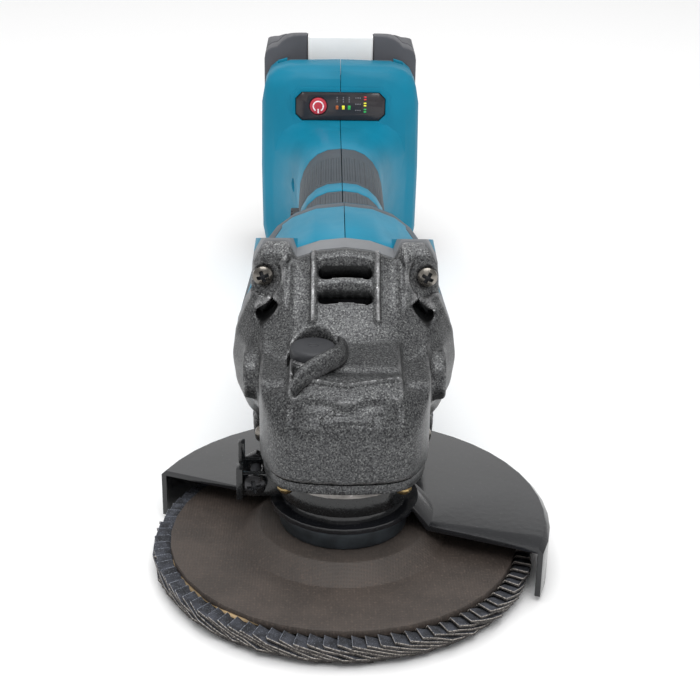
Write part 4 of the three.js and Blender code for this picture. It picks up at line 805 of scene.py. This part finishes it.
def mark_wear_and_highlight(piece: Piece, reach: int, gain: float) -> None:
    """Stores how far each point stands proud of the skin around it as an attribute, which the finishes turn
    into rubbed bright edges and a painted highlight.

    Args:
        piece: the piece.
        reach: how many rings of neighbours the skin around a point takes in.
        gain: how strongly a proud point counts.
    """
    points, edges = mesh_points(piece), mesh_edges(piece)
    count = np.maximum(np.bincount(edges.ravel(), minlength=len(points)), 1).astype(float)
    smooth = points.copy()
    for _ in range(reach):
        smooth = 0.5 * smooth + 0.5 * neighbours_mean(smooth, edges, count)
    proud = ((points - smooth) * point_normals(piece)).sum(1)
    values = np.clip(proud * gain, 0, 1)[:, None]
    values = neighbours_mean(values, edges, count)[:, 0]
    store(piece, "wear_and_highlight", values)


def point_normals(piece: Piece) -> np.ndarray:
    """The outward direction at each of a piece's points."""
    normals = np.empty(len(piece.data.vertices) * 3, np.float32)
    piece.data.vertices.foreach_get("normal", normals)
    return normals.reshape(-1, 3).astype(float)


def show(piece: Piece, finish: Finish, body: Body, smooth: Optional[float] = 35.0) -> Piece:
    """Gives a piece its finish, its shading and the body it moves with.

    Args:
        piece: the piece.
        finish: its finish.
        body: the body it rides on.
        smooth: the sharpest edge, in degrees, that is shaded smooth, or None for flat faces.

    Returns:
        The piece.
    """
    piece.data.materials.clear()
    piece.data.materials.append(finish.material())
    if smooth is not None:
        piece.data.shade_smooth()
        piece.data.set_sharp_from_angle(angle=math.radians(smooth))
    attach(piece, body.value)
    LOG.info("%s: %d faces on %s", piece.name, len(piece.data.polygons), body.value)
    return piece


def refined(
    node: str, finish: Finish, body: Body, bevel: float = 0.0003, smooth: float = 35.0, segments: int = 2
) -> Piece:
    """Replaces a CAD node by a copy with rounded edges and smooth curves.

    Args:
        node: the node.
        finish: the copy's finish.
        body: the body it rides on.
        bevel: how wide its edges are rounded, in metres, or 0.
        smooth: the sharpest edge, in degrees, that counts as a curve.
        segments: how many faces a rounded edge has.

    Returns:
        The copy.
    """
    points, triangles = node_mesh(node)
    piece = build(node + "_skin", points, [triangles], closed=False)
    work = bmesh.new()
    work.from_mesh(piece.data)
    bmesh.ops.dissolve_limit(work, angle_limit=math.radians(0.6), verts=work.verts, edges=work.edges)
    work.to_mesh(piece.data)
    work.free()
    if bevel > 0:
        edge = piece.modifiers.new("edge", "BEVEL")
        edge.width, edge.segments = bevel, segments
        edge.limit_method, edge.angle_limit = "ANGLE", math.radians(smooth)
        edge.use_clamp_overlap = True
        applied(piece)
    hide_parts(node)
    return show(piece, finish, body, smooth + 5)


def recast(
    node: str, finish: Finish, body: Body, voxel: float, rounds: int
) -> Piece:
    """Replaces a CAD node by an even, softened skin, as it would come out of a mould.

    Args:
        node: the node.
        finish: the skin's finish.
        body: the body it rides on.
        voxel: the size of its faces, in metres.
        rounds: how much its corners are rounded.

    Returns:
        The skin.
    """
    points, triangles = node_mesh(node)
    piece = build(node + "_skin", points, [triangles], closed=False)
    evened(piece, voxel)
    softened(piece, rounds)
    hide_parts(node)
    return show(piece, finish, body, 60.0)


def painted(node: str, finish: Finish) -> None:
    """Gives a CAD node that keeps its own shape its finish."""
    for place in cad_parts[node].material_slots:
        place.material = finish.material()


def cross_screw(node: str, finish: Finish, body: Body, turn: float) -> Piece:
    """A screw along Y with a domed head and a cross recess, in the place of a node.

    Rings of the radius r run from the shank's end up to the head's middle. The dome's depth is
    1.2 (r / R)^2 mm, and a cross of two tapering arms is pressed 1.3 mm into it.

    Args:
        node: the node that it replaces.
        finish: its finish; the cross recess is painted black as shade.
        body: the body that it rides.
        turn: how far the cross is turned, in radians.

    Returns:
        The screw.
    """
    low, high = (np.asarray(v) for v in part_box(node))
    centre, radius = (low + high) / 2, (high[0] - low[0]) / 2 / MM
    dome = np.linspace(radius * 0.985, 0.08, 20)
    r = np.concatenate([[1.7, 1.7, radius, radius], dome])[:, None]
    back = [(high[1] - low[1]) / MM - 0.2, 2.4, 2.4, 1.45]
    depth = np.concatenate([back, 1.2 * (dome / radius) ** 2])[:, None]
    t = np.linspace(0, math.tau, 72, endpoint=False)[None] + turn
    a, b = np.abs(r * np.cos(t - turn)), np.abs(r * np.sin(t - turn))
    arms = [rise(q, 0.62, 0.38) * rise(p, 0.62 * radius, 0.5 * radius) for p, q in ((a, b), (b, a))]
    depth = depth + 1.3 * np.maximum(*arms) * (np.arange(len(r)) > 3)[:, None]
    x, z = centre[0] + r * np.cos(t) * MM, centre[2] + r * np.sin(t) * MM
    screw = build(node + "_form", *tube_skin(np.stack([x, low[1] + depth * MM, z], -1)))
    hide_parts(node)
    show(screw, finish, body)
    # The cross recess is painted black, a painted shade in the recess.
    screw.data.materials.append(BLACK_AND_RECESS_SHADE.material())
    x, y, z = face_centres(screw).T
    p, q = (x - centre[0]) / MM, (z - centre[2]) / MM
    domed = low[1] + (1.2 * (np.hypot(p, q) / radius) ** 2 + 0.3) * MM
    pressed = (y > domed) & (np.hypot(p, q) < 0.6 * radius)
    screw.data.polygons.foreach_set("material_index", pressed.astype(np.int32))
    return screw


def face_centres(piece: Piece) -> np.ndarray:
    """The middle of each of a piece's faces, one row each."""
    centres = np.empty(len(piece.data.polygons) * 3)
    piece.data.polygons.foreach_get("center", centres)
    return centres.reshape(-1, 3)


# ---------------------------------------------------------------- the disc
@dataclass
class FlapDisc:
    """The flap disc with its plate, its two flanges and the nut.

    A flap is a rectangle of cloth that leans on the next one like a roof tile.
    """

    flaps: int = 90
    inner: float = 0.0405
    rim: float = 0.0571
    outer: float = 0.0621
    length: float = 0.0235
    top: float = 0.0091
    bottom: float = 0.0012
    thickness: float = 0.00095
    seed: int = 11
    pieces: list[Piece] = field(default_factory=list)

    def make(self) -> None:
        """Builds and dresses every piece of the disc."""
        self.pieces.append(self.flap_ring())
        self.pieces.append(self.glue_line())
        self.pieces.append(refined("backing_plate", PLATE, Body.SPINDLE, 0.0004))
        self.pieces.append(refined("inner_flange", FLANGE, Body.SPINDLE, 0.0004))
        self.pieces.append(refined("lock_nut", DARK_STEEL, Body.SPINDLE, 0.0003))

    def flap_ring(self) -> Piece:
        """Lays the flaps.

        Over s from 0 to 1 along a flap, the angle is its own angle plus s * length / radius and
        the height falls from top to bottom; across it, the radius goes from inner to outer.
        Each point has a twin one thickness below.
        """
        rng = np.random.default_rng(self.seed)
        s = np.array([0, 0.02, 0.2, 0.4, 0.6, 0.8, 1.0])[None, :, None]
        stations = [self.inner, self.rim - 0.0012, self.rim + 0.0004, self.outer - 0.0003, self.outer]
        r = np.array(stations)[None, None, :]
        n = self.flaps
        start = np.arange(n)[:, None, None] * math.tau / n
        wobble = rng.normal(0, 1, (n, 3, 1, 1))
        rows, columns = s.shape[1], r.shape[2]
        tip = np.array([0, 0, 0, 1.0, 1.0])[None, None, :]
        fray = rng.normal(0, 0.00028, (n, rows, 1)) * tip
        radius = r + fray + wobble[:, 0] * 0.00016 * tip
        angle = start + s * self.length / 0.060 + wobble[:, 1] * 0.003
        height = self.top - (self.top - self.bottom) * s**0.94 + wobble[:, 2] * 0.00012
        under = np.array([0.70, 0.74, 1.0, 0.967, 0.965])[None, None, :]
        height = height * under + 0 * radius
        height = np.maximum(height, self.thickness + 0.0002)
        radius = radius - 1.2 * np.maximum(0.0040 - height, 0) * tip
        angle = angle + 0 * radius
        top = np.stack([radius * np.cos(angle), radius * np.sin(angle), height + FLOOR], axis=-1)
        low = top - np.array([0, 0, self.thickness])
        count = rows * columns
        points = np.concatenate([top.reshape(n, count, 3), low.reshape(n, count, 3)], axis=1)
        place = np.arange(count).reshape(rows, columns)
        face = grid_faces(rows, columns)
        sheet = np.concatenate([face, face[:, ::-1] + count])
        loop = np.concatenate([place[0], place[1:, -1], place[-1, -2::-1], place[-2:0:-1, 0]])
        after = np.roll(loop, -1)
        wall = np.stack([after, loop, loop + count, after + count], axis=1)
        one = np.concatenate([sheet, wall])
        faces = (one[None] + (np.arange(n) * 2 * count)[:, None, None]).reshape(-1, 4)
        ring = build("flaps", points.reshape(-1, 3), [faces])
        edge = np.zeros((2, rows, columns))
        edge[0, 0], edge[0, :, -1] = 1.0, 1.0
        store(ring, "wear_and_highlight", np.tile(edge.ravel(), n))
        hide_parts("flap_ring")
        show(ring, CLOTH, Body.SPINDLE, None)
        ring.data.materials.append(FRAY.material())
        self._fray_edges(ring)
        return ring

    def _fray_edges(self, ring: Piece) -> None:
        """Gives the upright faces, which are the cloth's cut edges, the frayed finish."""
        mesh = ring.data
        normals = np.empty(len(mesh.polygons) * 3)
        mesh.polygons.foreach_get("normal", normals)
        flat = np.abs(normals.reshape(-1, 3)[:, 2])
        mesh.polygons.foreach_set("material_index", (flat < 0.25).astype(np.int32))

    def glue_line(self) -> Piece:
        """A lumpy bead of glue under the plate's rim: a thin ring whose radius and thickness wander."""
        t = np.linspace(0, math.tau, 360, endpoint=False)
        lump = sum(np.sin(t * k + k * k) / k for k in (3, 7, 13, 22, 41, 67))
        side = rise(np.cos(t - math.radians(224)), 0.74, 0.95) * (0.8 + 0.2 * np.sin(17 * t + 1))
        radius = self.rim - 0.0026 + 0.0026 * side + 0.0003 * lump * side
        path = np.stack([radius * np.cos(t), radius * np.sin(t), 0.0074 + FLOOR + 0.0009 * side], 1)
        out = np.stack([np.cos(t), np.sin(t), np.zeros_like(t)], 1)
        bead = beaded("glue_bead", path, out, round_profile(0.0007, 0.00055, 8))
        return show(bead, GLUE, Body.SPINDLE)


# ---------------------------------------------------------------- the gear head
@dataclass
class GearHead:
    """The cast gear housing, what is screwed to it and what turns in it.

    Sizes are in millimetres; heights are over the floor.
    """

    voxel: float = 0.0007
    ridge_half: float = 17.4
    roof: float = 62.0
    rib_x: float = 10.4
    screw_x: float = 27.0
    screw_height: float = 90.3
    pieces: list[Piece] = field(default_factory=list)

    def make(self) -> None:
        """Builds and dresses the head's pieces."""
        head = recast("gear_housing", CAST, Body.BODY, self.voxel, 3)
        self._sculpt(head)
        mark_wear_and_highlight(head, 3, 6500.0)
        self.pieces += [head, self.finger_fence(), self.bearing_box()]
        self.pieces.append(refined("lock_button", BUTTON, Body.BUTTON, 0.0005))
        self.pieces.append(self.button_mark())
        for i in (1, 2, 3, 4):
            self.pieces.append(refined(f"bearing_box_screw_{i}", SCREW_GOLD, Body.BODY, 0.0002))
            self.pieces.append(cross_screw(f"housing_screw_{i}", SCREW_BLACK, Body.BODY, 0.35 * i))
        for node in ("lock_pin", "lock_spring", "retaining_ring"):
            painted(node, PLAIN_STEEL)
        for end in ("lower", "upper"):
            painted(f"spindle_bearing_{end}", PLAIN_STEEL)
        painted("spindle", BRIGHT)
        painted("crown_gear", DARK_STEEL)

    def _sculpt(self, head: Piece) -> None:
        """Works the cast details into the head's skin.

        The front becomes a bowl. Then every point that looks up or forward moves along its own
        direction by the sum of the reliefs, which are functions of x, y and height.
        """
        self._bowl(head)
        x, y, h = self._where(head)
        front = rise(y, -10.0, -15.0) * rise(h, 50.0, 55.0)
        softened(head, 6, 0.5 * front)
        points, turned = mesh_points(head), point_normals(head)
        x, y, h = self._where(head)
        up = rise(turned[:, 2], 0.25, 0.5) * rise(h, 53.0, 56.0)
        relief = up * (self._steps(x, y) + self._ribs(x, y) + self._arrow(x, y) + self._notch(x, y))
        relief += rise(-turned[:, 1], 0.15, 0.4) * self._pockets(x, h) * rise(y, 12, 20)
        points = points + turned * relief[:, None] * MM
        well = rise(np.hypot(x + 10.2, y - 4.5), 8.5, 8.2) * rise(h, 72.0, 70.5) * rise(h, 66.0, 67.0)
        points[:, 2] -= 0.7 * MM * well
        set_points(head, points)
        # Painted shade: near black in the vents, ducts, slots and the three-cornered hollow by the fence.
        store(head, "painted_shade", np.clip(self._painted_vent_shade(x, y, h) + self._triangle(x, y) * up, 0, 1))

    def _painted_vent_shade(self, x: np.ndarray, y: np.ndarray, h: np.ndarray) -> np.ndarray:
        """Painted shade: 1 on the walls of the air slots and ducts, where shade falls; in the lower slot
        the painted shade is lightened in a row of tooth shapes that stand in for the fan.
        """
        slope = 77.6 + (y - 13.0) * 1.105
        band = np.minimum(np.abs(y - 26.1) - 1.75, np.abs(y - 20.2) - 1.65)
        inside = rise(band, 0.75, 0.35) * rise(np.abs(x), 9.5, 9.1)
        inside = inside * rise(slope - h, -0.6, -0.1) * rise(h, 74, 76)
        duct = rise(slope - h, 1.5, 2.8) * rise(np.abs(x), 10.2, 9.3) * rise(y, 17.0, 18.0)
        inside = np.maximum(inside, duct)
        painted_fan_teeth = 1 - 0.2 * rise(np.cos(x * 2.6), 0.1, 0.6) * rise(y, 23.0, 22.0)
        within = rise(np.hypot(x, h - 61.5), 33.5, 31.5) * rise(y, 31.0, 32.5)
        u = (np.abs(x) - 25.4) * 0.704 - (h - 80.8) * 0.710
        v = (np.abs(x) - 25.4) * 0.710 + (h - 80.8) * 0.704
        return inside * painted_fan_teeth + within + rise(np.abs(u), 5.0, 4.5) * rise(np.abs(v), 2.1, 1.7)

    def _bowl(self, head: Piece) -> None:
        """Turns the front of the head into a smooth bowl with a V-shaped step, and evens the skin.

        rho is 1 on the head's outline, (|x/w|^p + |(y+2)/n|^p)^(1/p), and depth is how far inside it
        a point is. The rim's height follows y, the bowl climbs from it with the depth, and the
        ridge stands on the bowl behind the second V.
        """
        x, y, h = self._where(head)
        rho = (np.abs(x / 27.2) ** 2.74 + np.abs(np.minimum(y + 2, 0) / 24.0) ** 2.74) ** (1 / 2.74)
        depth = np.clip(1 - rho, 0, 1) * 25.0
        before = np.interp(y, [-26, -24, -18, -8, 10], [54, 58.5, 64, 68.5, 71])
        rim = 57.6 + 8.9 * rise(y, -21.0, -5.0)
        bowl = rim + (9.4 - 6.4 * rise(y, -18.0, -7.0)) * np.sin(np.clip(depth / 5.6, 0, 1) * math.pi / 2)
        bowl = bowl + 0.2 * np.clip(depth - 5.0, 0, 9)
        first, second = self._folds(x)
        ridge = 72.4 + (np.maximum(y, first) + 16.5) * 0.16 - 0.72 * np.maximum(first - y, 0)
        on_ridge = rise(np.abs(x), self.ridge_half + 0.7, self.ridge_half - 0.3)
        target = bowl + on_ridge * rise(y, second - 0.5, second + 0.5) * (ridge - bowl)
        hole = (np.hypot(np.abs(x) - 20, y + 20) < 3.2) & (h < 56)
        outer = ((np.hypot(x, y) > 22.7) | (h > self.roof + 0.6)) & ~hole
        ahead = rise(y, -6.5, -12.5) * outer
        lifted = h + ahead * (rim - before) * rise(h, before - 9, before - 0.5)
        top = ahead * rise(rho, 0.992, 0.962) * (h > 50)
        moved = lifted + top * (target - lifted)
        points = mesh_points(head)
        points[:, 2] = moved * MM + FLOOR
        set_points(head, points)
        evened(head, self.voxel)
        softened(head, 3)

    def _where(self, head: Piece) -> tuple[np.ndarray, np.ndarray, np.ndarray]:
        """The x, y and height over the floor of the head's points, in millimetres."""
        x, y, z = (mesh_points(head) / MM).T
        return x, y, z - FLOOR / MM

    def _folds(self, x: np.ndarray) -> tuple[np.ndarray, np.ndarray]:
        """Where the two V-shaped steps lie along y."""
        return -17.6 + 0.25 * np.abs(x), -21.8 + 0.2 * np.abs(x)

    def _steps(self, x: np.ndarray, y: np.ndarray) -> np.ndarray:
        """Two steps down towards the nose, each along a V that points forward."""
        on_ridge = rise(np.abs(x), self.ridge_half + 0.4, self.ridge_half - 0.8)
        first, second = self._folds(x)
        edge = np.exp(-(((y - first - 0.5) / 0.5) ** 2)) + np.exp(-(((y - second - 0.5) / 0.5) ** 2))
        drop = rise(y, first + 0.4, first - 0.4)
        return on_ridge * rise(y, -25.8, -23.2) * (0.25 * edge - drop)

    def _ribs(self, x: np.ndarray, y: np.ndarray) -> np.ndarray:
        """Two flat-topped ribs up the rear slope."""
        across = np.exp(-((np.abs(np.abs(x) - self.rib_x) / 0.95) ** 4))
        return 0.95 * across * rise(y, 12.8, 14.0) * rise(y, 33.0, 31.0)

    def _arrow(self, x: np.ndarray, y: np.ndarray) -> np.ndarray:
        """A low plain arrow across the front slope that shows which way the disc turns."""
        off = np.abs(y + 23.6 - 0.02 * x)
        barb = np.where(x < -3.2, 0.35 + 0.30 * (x + 7.6), 0.42)
        return 0.6 * rise(off, barb + 0.4, barb - 0.1) * rise(np.abs(x - 0.4), 8.2, 7.6)

    def _triangle(self, x: np.ndarray, y: np.ndarray) -> np.ndarray:
        """The three-cornered hollow between the finger fence and the left edge of the ridge."""
        left, back = rise(x, -16.9, -16.3), rise(y, -4.4, -5.2)
        right = rise(x - (-12.4 + 0.42 * (y + 5.0)), 0.3, -0.5)
        return left * back * right * rise(y, -15.0, -13.0)

    def _notch(self, x: np.ndarray, y: np.ndarray) -> np.ndarray:
        """That hollow, and the shallow one in front of the button that bares its side."""
        away = np.hypot(x + 10.2, y - 4.5)
        crescent = rise(away, 12.0, 10.0) * rise(y, 3.0, -1.0) * rise(x, -17.2, -16.4)
        return -1.5 * crescent - 1.6 * self._triangle(x, y)

    def _pockets(self, x: np.ndarray, h: np.ndarray) -> np.ndarray:
        """A raised border round the inner and lower side of each upper screw's pocket."""
        away = np.hypot(np.abs(x) - self.screw_x, h - self.screw_height)
        side = rise((self.screw_x - np.abs(x)) + (self.screw_height - h), -2.0, 3.0)
        shelf = 1.3 * rise(away, 5.7, 6.7) * rise(away, 12.5, 7.5)
        return side * shelf * rise(np.abs(x), 17.8, 19.5)

    def finger_fence(self) -> Piece:
        """The leaf-shaped fence round the button, a rounded profile along a curve, thin at its ends."""
        knots = [(-2.2, 6.6, 72.6), (-0.7, 1.6, 73.1), (-2.4, -4.6, 72.9), (-6.4, -8.8, 72.4)]
        knots += [(-10.8, -12.6, 71.2), (-14.2, -16.2, 69.4), (-16.4, -20.0, 66.8)]
        path = curve_through(knots, 60)
        s = np.linspace(0, 1, 60)
        width = 0.3 + 2.3 * np.sin(np.pi * s) ** 0.8
        tall = 1.2 + 1.5 * np.sin(np.pi * np.clip(0.1 + 0.8 * s, 0, 1)) ** 0.7
        side = [(1.0, -1.4), (0.98, 0.1), (0.86, 0.62), (0.6, 0.9), (0.25, 1.0)]
        side += [(-0.15, 0.92), (-0.55, 0.62), (-0.85, 0.15), (-1.0, -0.5), (-1.0, -1.4)]
        profile = np.array(side) * MM
        grid = carried(path, profile, (0, 0, 1), np.stack([width, tall], 1))
        fence = build("finger_fence", *tube_skin(grid))
        soft = fence.modifiers.new("soft", "SUBSURF")
        soft.levels = soft.render_levels = 1
        applied(fence)
        mark_wear_and_highlight(fence, 4, 3000.0)
        return show(fence, CAST, Body.BODY, 60.0)

    def button_mark(self) -> Piece:
        """A small raised tick on the lock button: an oval ring swept round its centre."""
        low, high = (np.asarray(v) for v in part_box("lock_button"))
        centre = (low + high) / 2
        t = np.linspace(0, math.tau, 40, endpoint=False)
        x, y = centre[0] + 0.0016 * np.cos(t), centre[1] + 0.0009 * np.sin(t)
        path = np.stack([x, y, np.full_like(t, high[2])], 1)
        out = np.stack([np.cos(t), np.sin(t), np.zeros_like(t)], 1)
        mark = beaded("button_mark", path, out, round_profile(0.00022, 0.00018, 8))
        return show(mark, BUTTON, Body.BUTTON)

    def bearing_box(self) -> Piece:
        """The bearing box: its flange carries the head's paint, and the ring under it is bare."""
        piece = refined("bearing_box", BRIGHT, Body.BODY, 0.0003)
        piece.data.materials.append(CAST.material())
        x, y, z = face_centres(piece).T
        flange = (z > 0.0341) & ((np.hypot(x, y) > 0.0229) | (z > 0.0372))
        piece.data.polygons.foreach_set("material_index", flange.astype(np.int32))
        return piece


@dataclass
class Guard:
    """The wheel guard and the clamp that holds it."""

    pieces: list[Piece] = field(default_factory=list)

    def make(self) -> None:
        """Builds and dresses the guard's pieces."""
        self.pieces.append(refined("guard", PAINT, Body.GUARD, 0.0006, segments=3))
        self.pieces.append(refined("guard_clamp_band", BAND_PAINT, Body.GUARD, 0.0003))
        self.pieces.append(cross_screw("guard_clamp_screw", SCREW_DARK, Body.GUARD, 0.2))
        self.pieces.append(refined("guard_clamp_nut", SCREW_DARK, Body.GUARD, 0.0002))


@dataclass
class Motor:
    """The motor and its drive, inside the body."""

    def make(self) -> None:
        """Dresses the motor's nodes."""
        for node in ("pinion", "rotor_shaft", "motor_bearing_front", "motor_bearing_rear"):
            painted(node, MOTOR_STEEL)
        painted("rotor_core", LAMINATION)
        painted("stator", WINDING)
        painted("fan", BLACK_AND_RECESS_SHADE)


@dataclass
class Handle:
    """The two body shells with their rubber, the baffle ring, the switch and the electronics."""

    pieces: list[Piece] = field(default_factory=list)

    def make(self) -> None:
        """Builds and dresses the body's pieces."""
        for side in ("left", "right"):
            self.pieces.append(refined(f"housing_{side}", BLUE, Body.BODY, 0.0004))
            self.pieces.append(refined(f"motor_rubber_{side}", RUBBER, Body.BODY, 0.0003))
            self.pieces.append(refined(f"grip_rubber_{side}", GRIP, Body.BODY, 0.0003))
        self.pieces.append(refined("baffle_ring", GREY_RING, Body.BODY, 0.0003))
        self.pieces.append(refined("slide_switch", BLACK_AND_RECESS_SHADE, Body.SWITCH, 0.0004))
        for i in (1, 2, 3, 4, 5):
            painted(f"body_screw_{i}", SCREW_BLACK)
        painted("switch_rod", BLACK_AND_RECESS_SHADE)
        painted("switch_unit", BLACK_AND_RECESS_SHADE)
        painted("controller_board", BOARD)
        painted("terminal_block", BLACK_AND_RECESS_SHADE)


@dataclass
class ControlPanel:
    """The panel on the foot with its red button and its rows of lights.

    Places are in millimetres from the panel's middle, x to the right and v upwards.
    """

    rise: float = 0.00012
    pieces: list[Piece] = field(default_factory=list)

    def make(self) -> None:
        """Builds and dresses the panel's pieces."""
        self.pieces.append(refined("control_panel", PANEL, Body.BODY, 0.0003))
        self.pieces.append(refined("power_button", RED, Body.POWER, 0.0003))
        self.pieces.append(self.power_mark())
        speeds = (("amber_light", AMBER, -1.6), ("yellow_light", YELLOW, 1.4), ("green_light", GREEN, 4.2))
        for name, finish, x in speeds:
            self.pieces.append(self.marks(name, finish, [(x, -0.2, 0.65, 0.6), (x, -1.2, 0.65, 0.25)]))
        charge = (("top_pair", RED_LIGHT, 4.6), ("middle_pair", YELLOW, 1.6), ("low_pair", GREEN, -1.4))
        for name, finish, high in charge:
            lamps = [(11.8, high, 0.62, 0.32), (11.8, high - 1.2, 0.62, 0.32)]
            self.pieces.append(self.marks(name, finish, lamps))
        ticks = [(x, v, 0.3, 0.32) for x in (-1.6, 1.4, 4.2) for v in (2.2, 3.2, 4.2)]
        ticks += [(x, v, 0.32, 0.3) for x in (7.4, 8.4, 9.4) for v in (4.1, 1.1, -1.9)]
        self.pieces.append(self.marks("panel_ticks", PRINT, ticks))
        painted("power_button_spring", PLAIN_STEEL)

    def marks(self, name: str, finish: Finish, places: Sequence[Tile]) -> Piece:
        """Lays small rounded tiles on the panel.

        Each tile is the squared oval of round_profile, raised in three rings that shrink to its top.

        Args:
            name: the piece's name.
            finish: its finish.
            places: each tile's x, v, half width and half height.

        Returns:
            The tiles as one piece.
        """
        low, high = (np.asarray(v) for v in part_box("control_panel"))
        face = low[1]
        x0, z0 = (low[0] + high[0]) / 2, (low[2] + high[2]) / 2
        tile = np.asarray(places) * MM
        outline = round_profile(1.0, 1.0, 16, 5.0)
        size = np.array([1.0, 1.0, 0.8])[:, None, None]
        flat = outline[None] * size
        shape = flat[None] * tile[:, None, None, 2:]
        x = shape[..., 0] + tile[:, None, None, 0] + x0
        z = shape[..., 1] + tile[:, None, None, 1] + z0
        depth = np.array([0.0003, -0.6 * self.rise, -self.rise])[None, :, None]
        grid = np.stack([x, face + depth + 0 * x, z], -1)
        parts = [tube_skin(g) for g in grid]
        count = len(parts[0][0])
        points = np.concatenate([p for p, _ in parts])
        faces = [np.concatenate([f[k] + i * count for i, (_, f) in enumerate(parts)]) for k in range(3)]
        piece = build(name, points, faces)
        return show(piece, finish, Body.BODY)

    def power_mark(self) -> Piece:
        """The plain on-off sign: a broken ring with a short bar in its gap, carried as a flat bead."""
        low, high = (np.asarray(v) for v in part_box("power_button"))
        cx, cz, face = (low[0] + high[0]) / 2, (low[2] + high[2]) / 2, low[1]
        t = np.linspace(math.radians(-90 + 32), math.radians(270 - 32), 48)
        ring = np.stack([cx + 0.0024 * np.cos(t), np.full_like(t, face), cz + 0.0024 * np.sin(t)], 1)
        s = np.linspace(0, 1, 8)
        bar = np.stack([np.full_like(s, cx), np.full_like(s, face), cz - 0.0012 - 0.0021 * s], 1)
        bead = round_profile(0.00032, 0.00012, 8, 3.0)
        first, second = (tube_skin(carried(path, bead, (0, -1, 0))) for path in (ring, bar))
        points = np.concatenate([first[0], second[0]])
        faces = first[1] + [f + len(first[0]) for f in second[1]]
        mark = build("power_mark", points, faces)
        return show(mark, PRINT_WITH_PAINTED_GLOW, Body.POWER)


@dataclass
class Battery:
    """The slide-on battery with its latch and cells."""

    pieces: list[Piece] = field(default_factory=list)

    def make(self) -> None:
        """Builds and dresses the battery's pieces."""
        self.pieces.append(refined("battery_cover", CHARCOAL, Body.BATTERY, 0.0008, segments=3))
        self.pieces.append(refined("battery_case", CHARCOAL, Body.BATTERY, 0.0008, segments=3))
        self.pieces.append(refined("battery_latch", WHITE, Body.LATCH, 0.0008, segments=3))
        painted("latch_spring", PLAIN_STEEL)
        painted("cell_pack", CELLS)
        painted("battery_board", BOARD)


# ---------------------------------------------------------------- studio
@dataclass
class Studio:
    """The floor, the lights and the camera."""

    lens: float = 73.5
    place: Place = (-0.00643, -0.41115, 0.25118)
    pitch: float = 23.56
    yaw: float = 1.07
    roll: float = 0.87
    shift: tuple[float, float] = (0.00064, 0.00177)

    def make(self) -> None:
        """Sets up the whole studio."""
        self.floor()
        self.lights()
        self.camera()
        bpy.context.scene.view_settings.view_transform = "Standard"

    def floor(self) -> None:
        """A plain pale floor under the grinder, as one sheet of a grid."""
        side = np.linspace(-3.0, 3.0, 9)
        x, y = np.meshgrid(side, side, indexing="ij")
        points = np.stack([x, y, np.full_like(x, FLOOR - 0.0002)], -1).reshape(-1, 3)
        sheet = build("floor", points, [grid_faces(9, 9)[:, ::-1]], closed=False)
        paper = Moulded("floor_paper", (252, 252, 252), roughness=0.9, mottle=0.0)
        sheet.data.materials.append(paper.material())

    def lights(self) -> None:
        """A wide soft light overhead, one on each side, one in front and a pale room."""
        self._area("overhead", (0.0, 0.35, 1.6), (0, 0.35, 0), 1.3, 1.6, 12)
        self._area("key", (0.0, -0.8, 1.25), (0, -0.02, 0.05), 1.1, 0.6, 11)
        self._area("left", (-1.2, -0.1, 1.1), (0, 0.0, 0.05), 0.8, 0.6, 1.6)
        self._area("right", (1.2, -0.1, 1.1), (0, 0.0, 0.05), 0.8, 0.6, 1.6)
        self._area("front", (0.1, -1.5, 0.35), (0, 0, 0.03), 0.9, 0.35, 0.6)
        self._area("back", (0.0, 2.2, 0.8), (0, 0.0, 0.0), 2.6, 1.0, 5)
        world = bpy.data.worlds.new("room")
        world.use_nodes = True
        back = world.node_tree.nodes["Background"]
        back.inputs["Color"].default_value = (1, 1, 1, 1)
        back.inputs["Strength"].default_value = 0.46
        bpy.context.scene.world = world

    def _area(
        self, name: str, place: Place, target: Place, width: float, height: float, power: float
    ) -> None:
        """Adds one soft light.

        Args:
            name: its name.
            place: where it stands.
            target: what it points at.
            width: its width in metres.
            height: its height in metres.
            power: its power in watts.
        """
        data = bpy.data.lights.new(name, "AREA")
        data.shape, data.size, data.size_y, data.energy = "RECTANGLE", width, height, power
        lamp = bpy.data.objects.new(name, data)
        lamp.location = place
        lamp.rotation_euler = (Vector(target) - Vector(place)).to_track_quat("-Z", "Y").to_euler()
        bpy.context.scene.collection.objects.link(lamp)

    def camera(self) -> None:
        """Stands the camera in front, looking down on the head."""
        pitch, yaw, roll = (math.radians(a) for a in (self.pitch, self.yaw, self.roll))
        ahead = Vector((math.sin(yaw) * math.cos(pitch), math.cos(yaw) * math.cos(pitch), -math.sin(pitch)))
        level = Vector((math.cos(yaw), -math.sin(yaw), 0.0))
        above = level.cross(ahead)
        right = level * math.cos(roll) + above * math.sin(roll)
        up = above * math.cos(roll) - level * math.sin(roll)
        data = bpy.data.cameras.new("camera")
        data.lens, data.sensor_width = self.lens, 36.0
        data.shift_x, data.shift_y = self.shift
        data.clip_start = 0.01
        view = bpy.data.objects.new("camera", data)
        turn = Matrix((right, up, -ahead)).transposed().to_4x4()
        view.matrix_world = Matrix.Translation(self.place) @ turn
        bpy.context.scene.collection.objects.link(view)
        bpy.context.scene.camera = view


def main() -> None:
    """Builds the studio and every sub-assembly, and logs the face count of each piece it shows."""
    logging.basicConfig(level=logging.INFO, format="%(name)s: %(message)s")
    Studio().make()
    for part in (FlapDisc(), GearHead(), Guard(), Motor(), Handle(), ControlPanel(), Battery()):
        part.make()
        LOG.info("%s done", type(part).__name__)


if __name__ == "__main__":
    main()
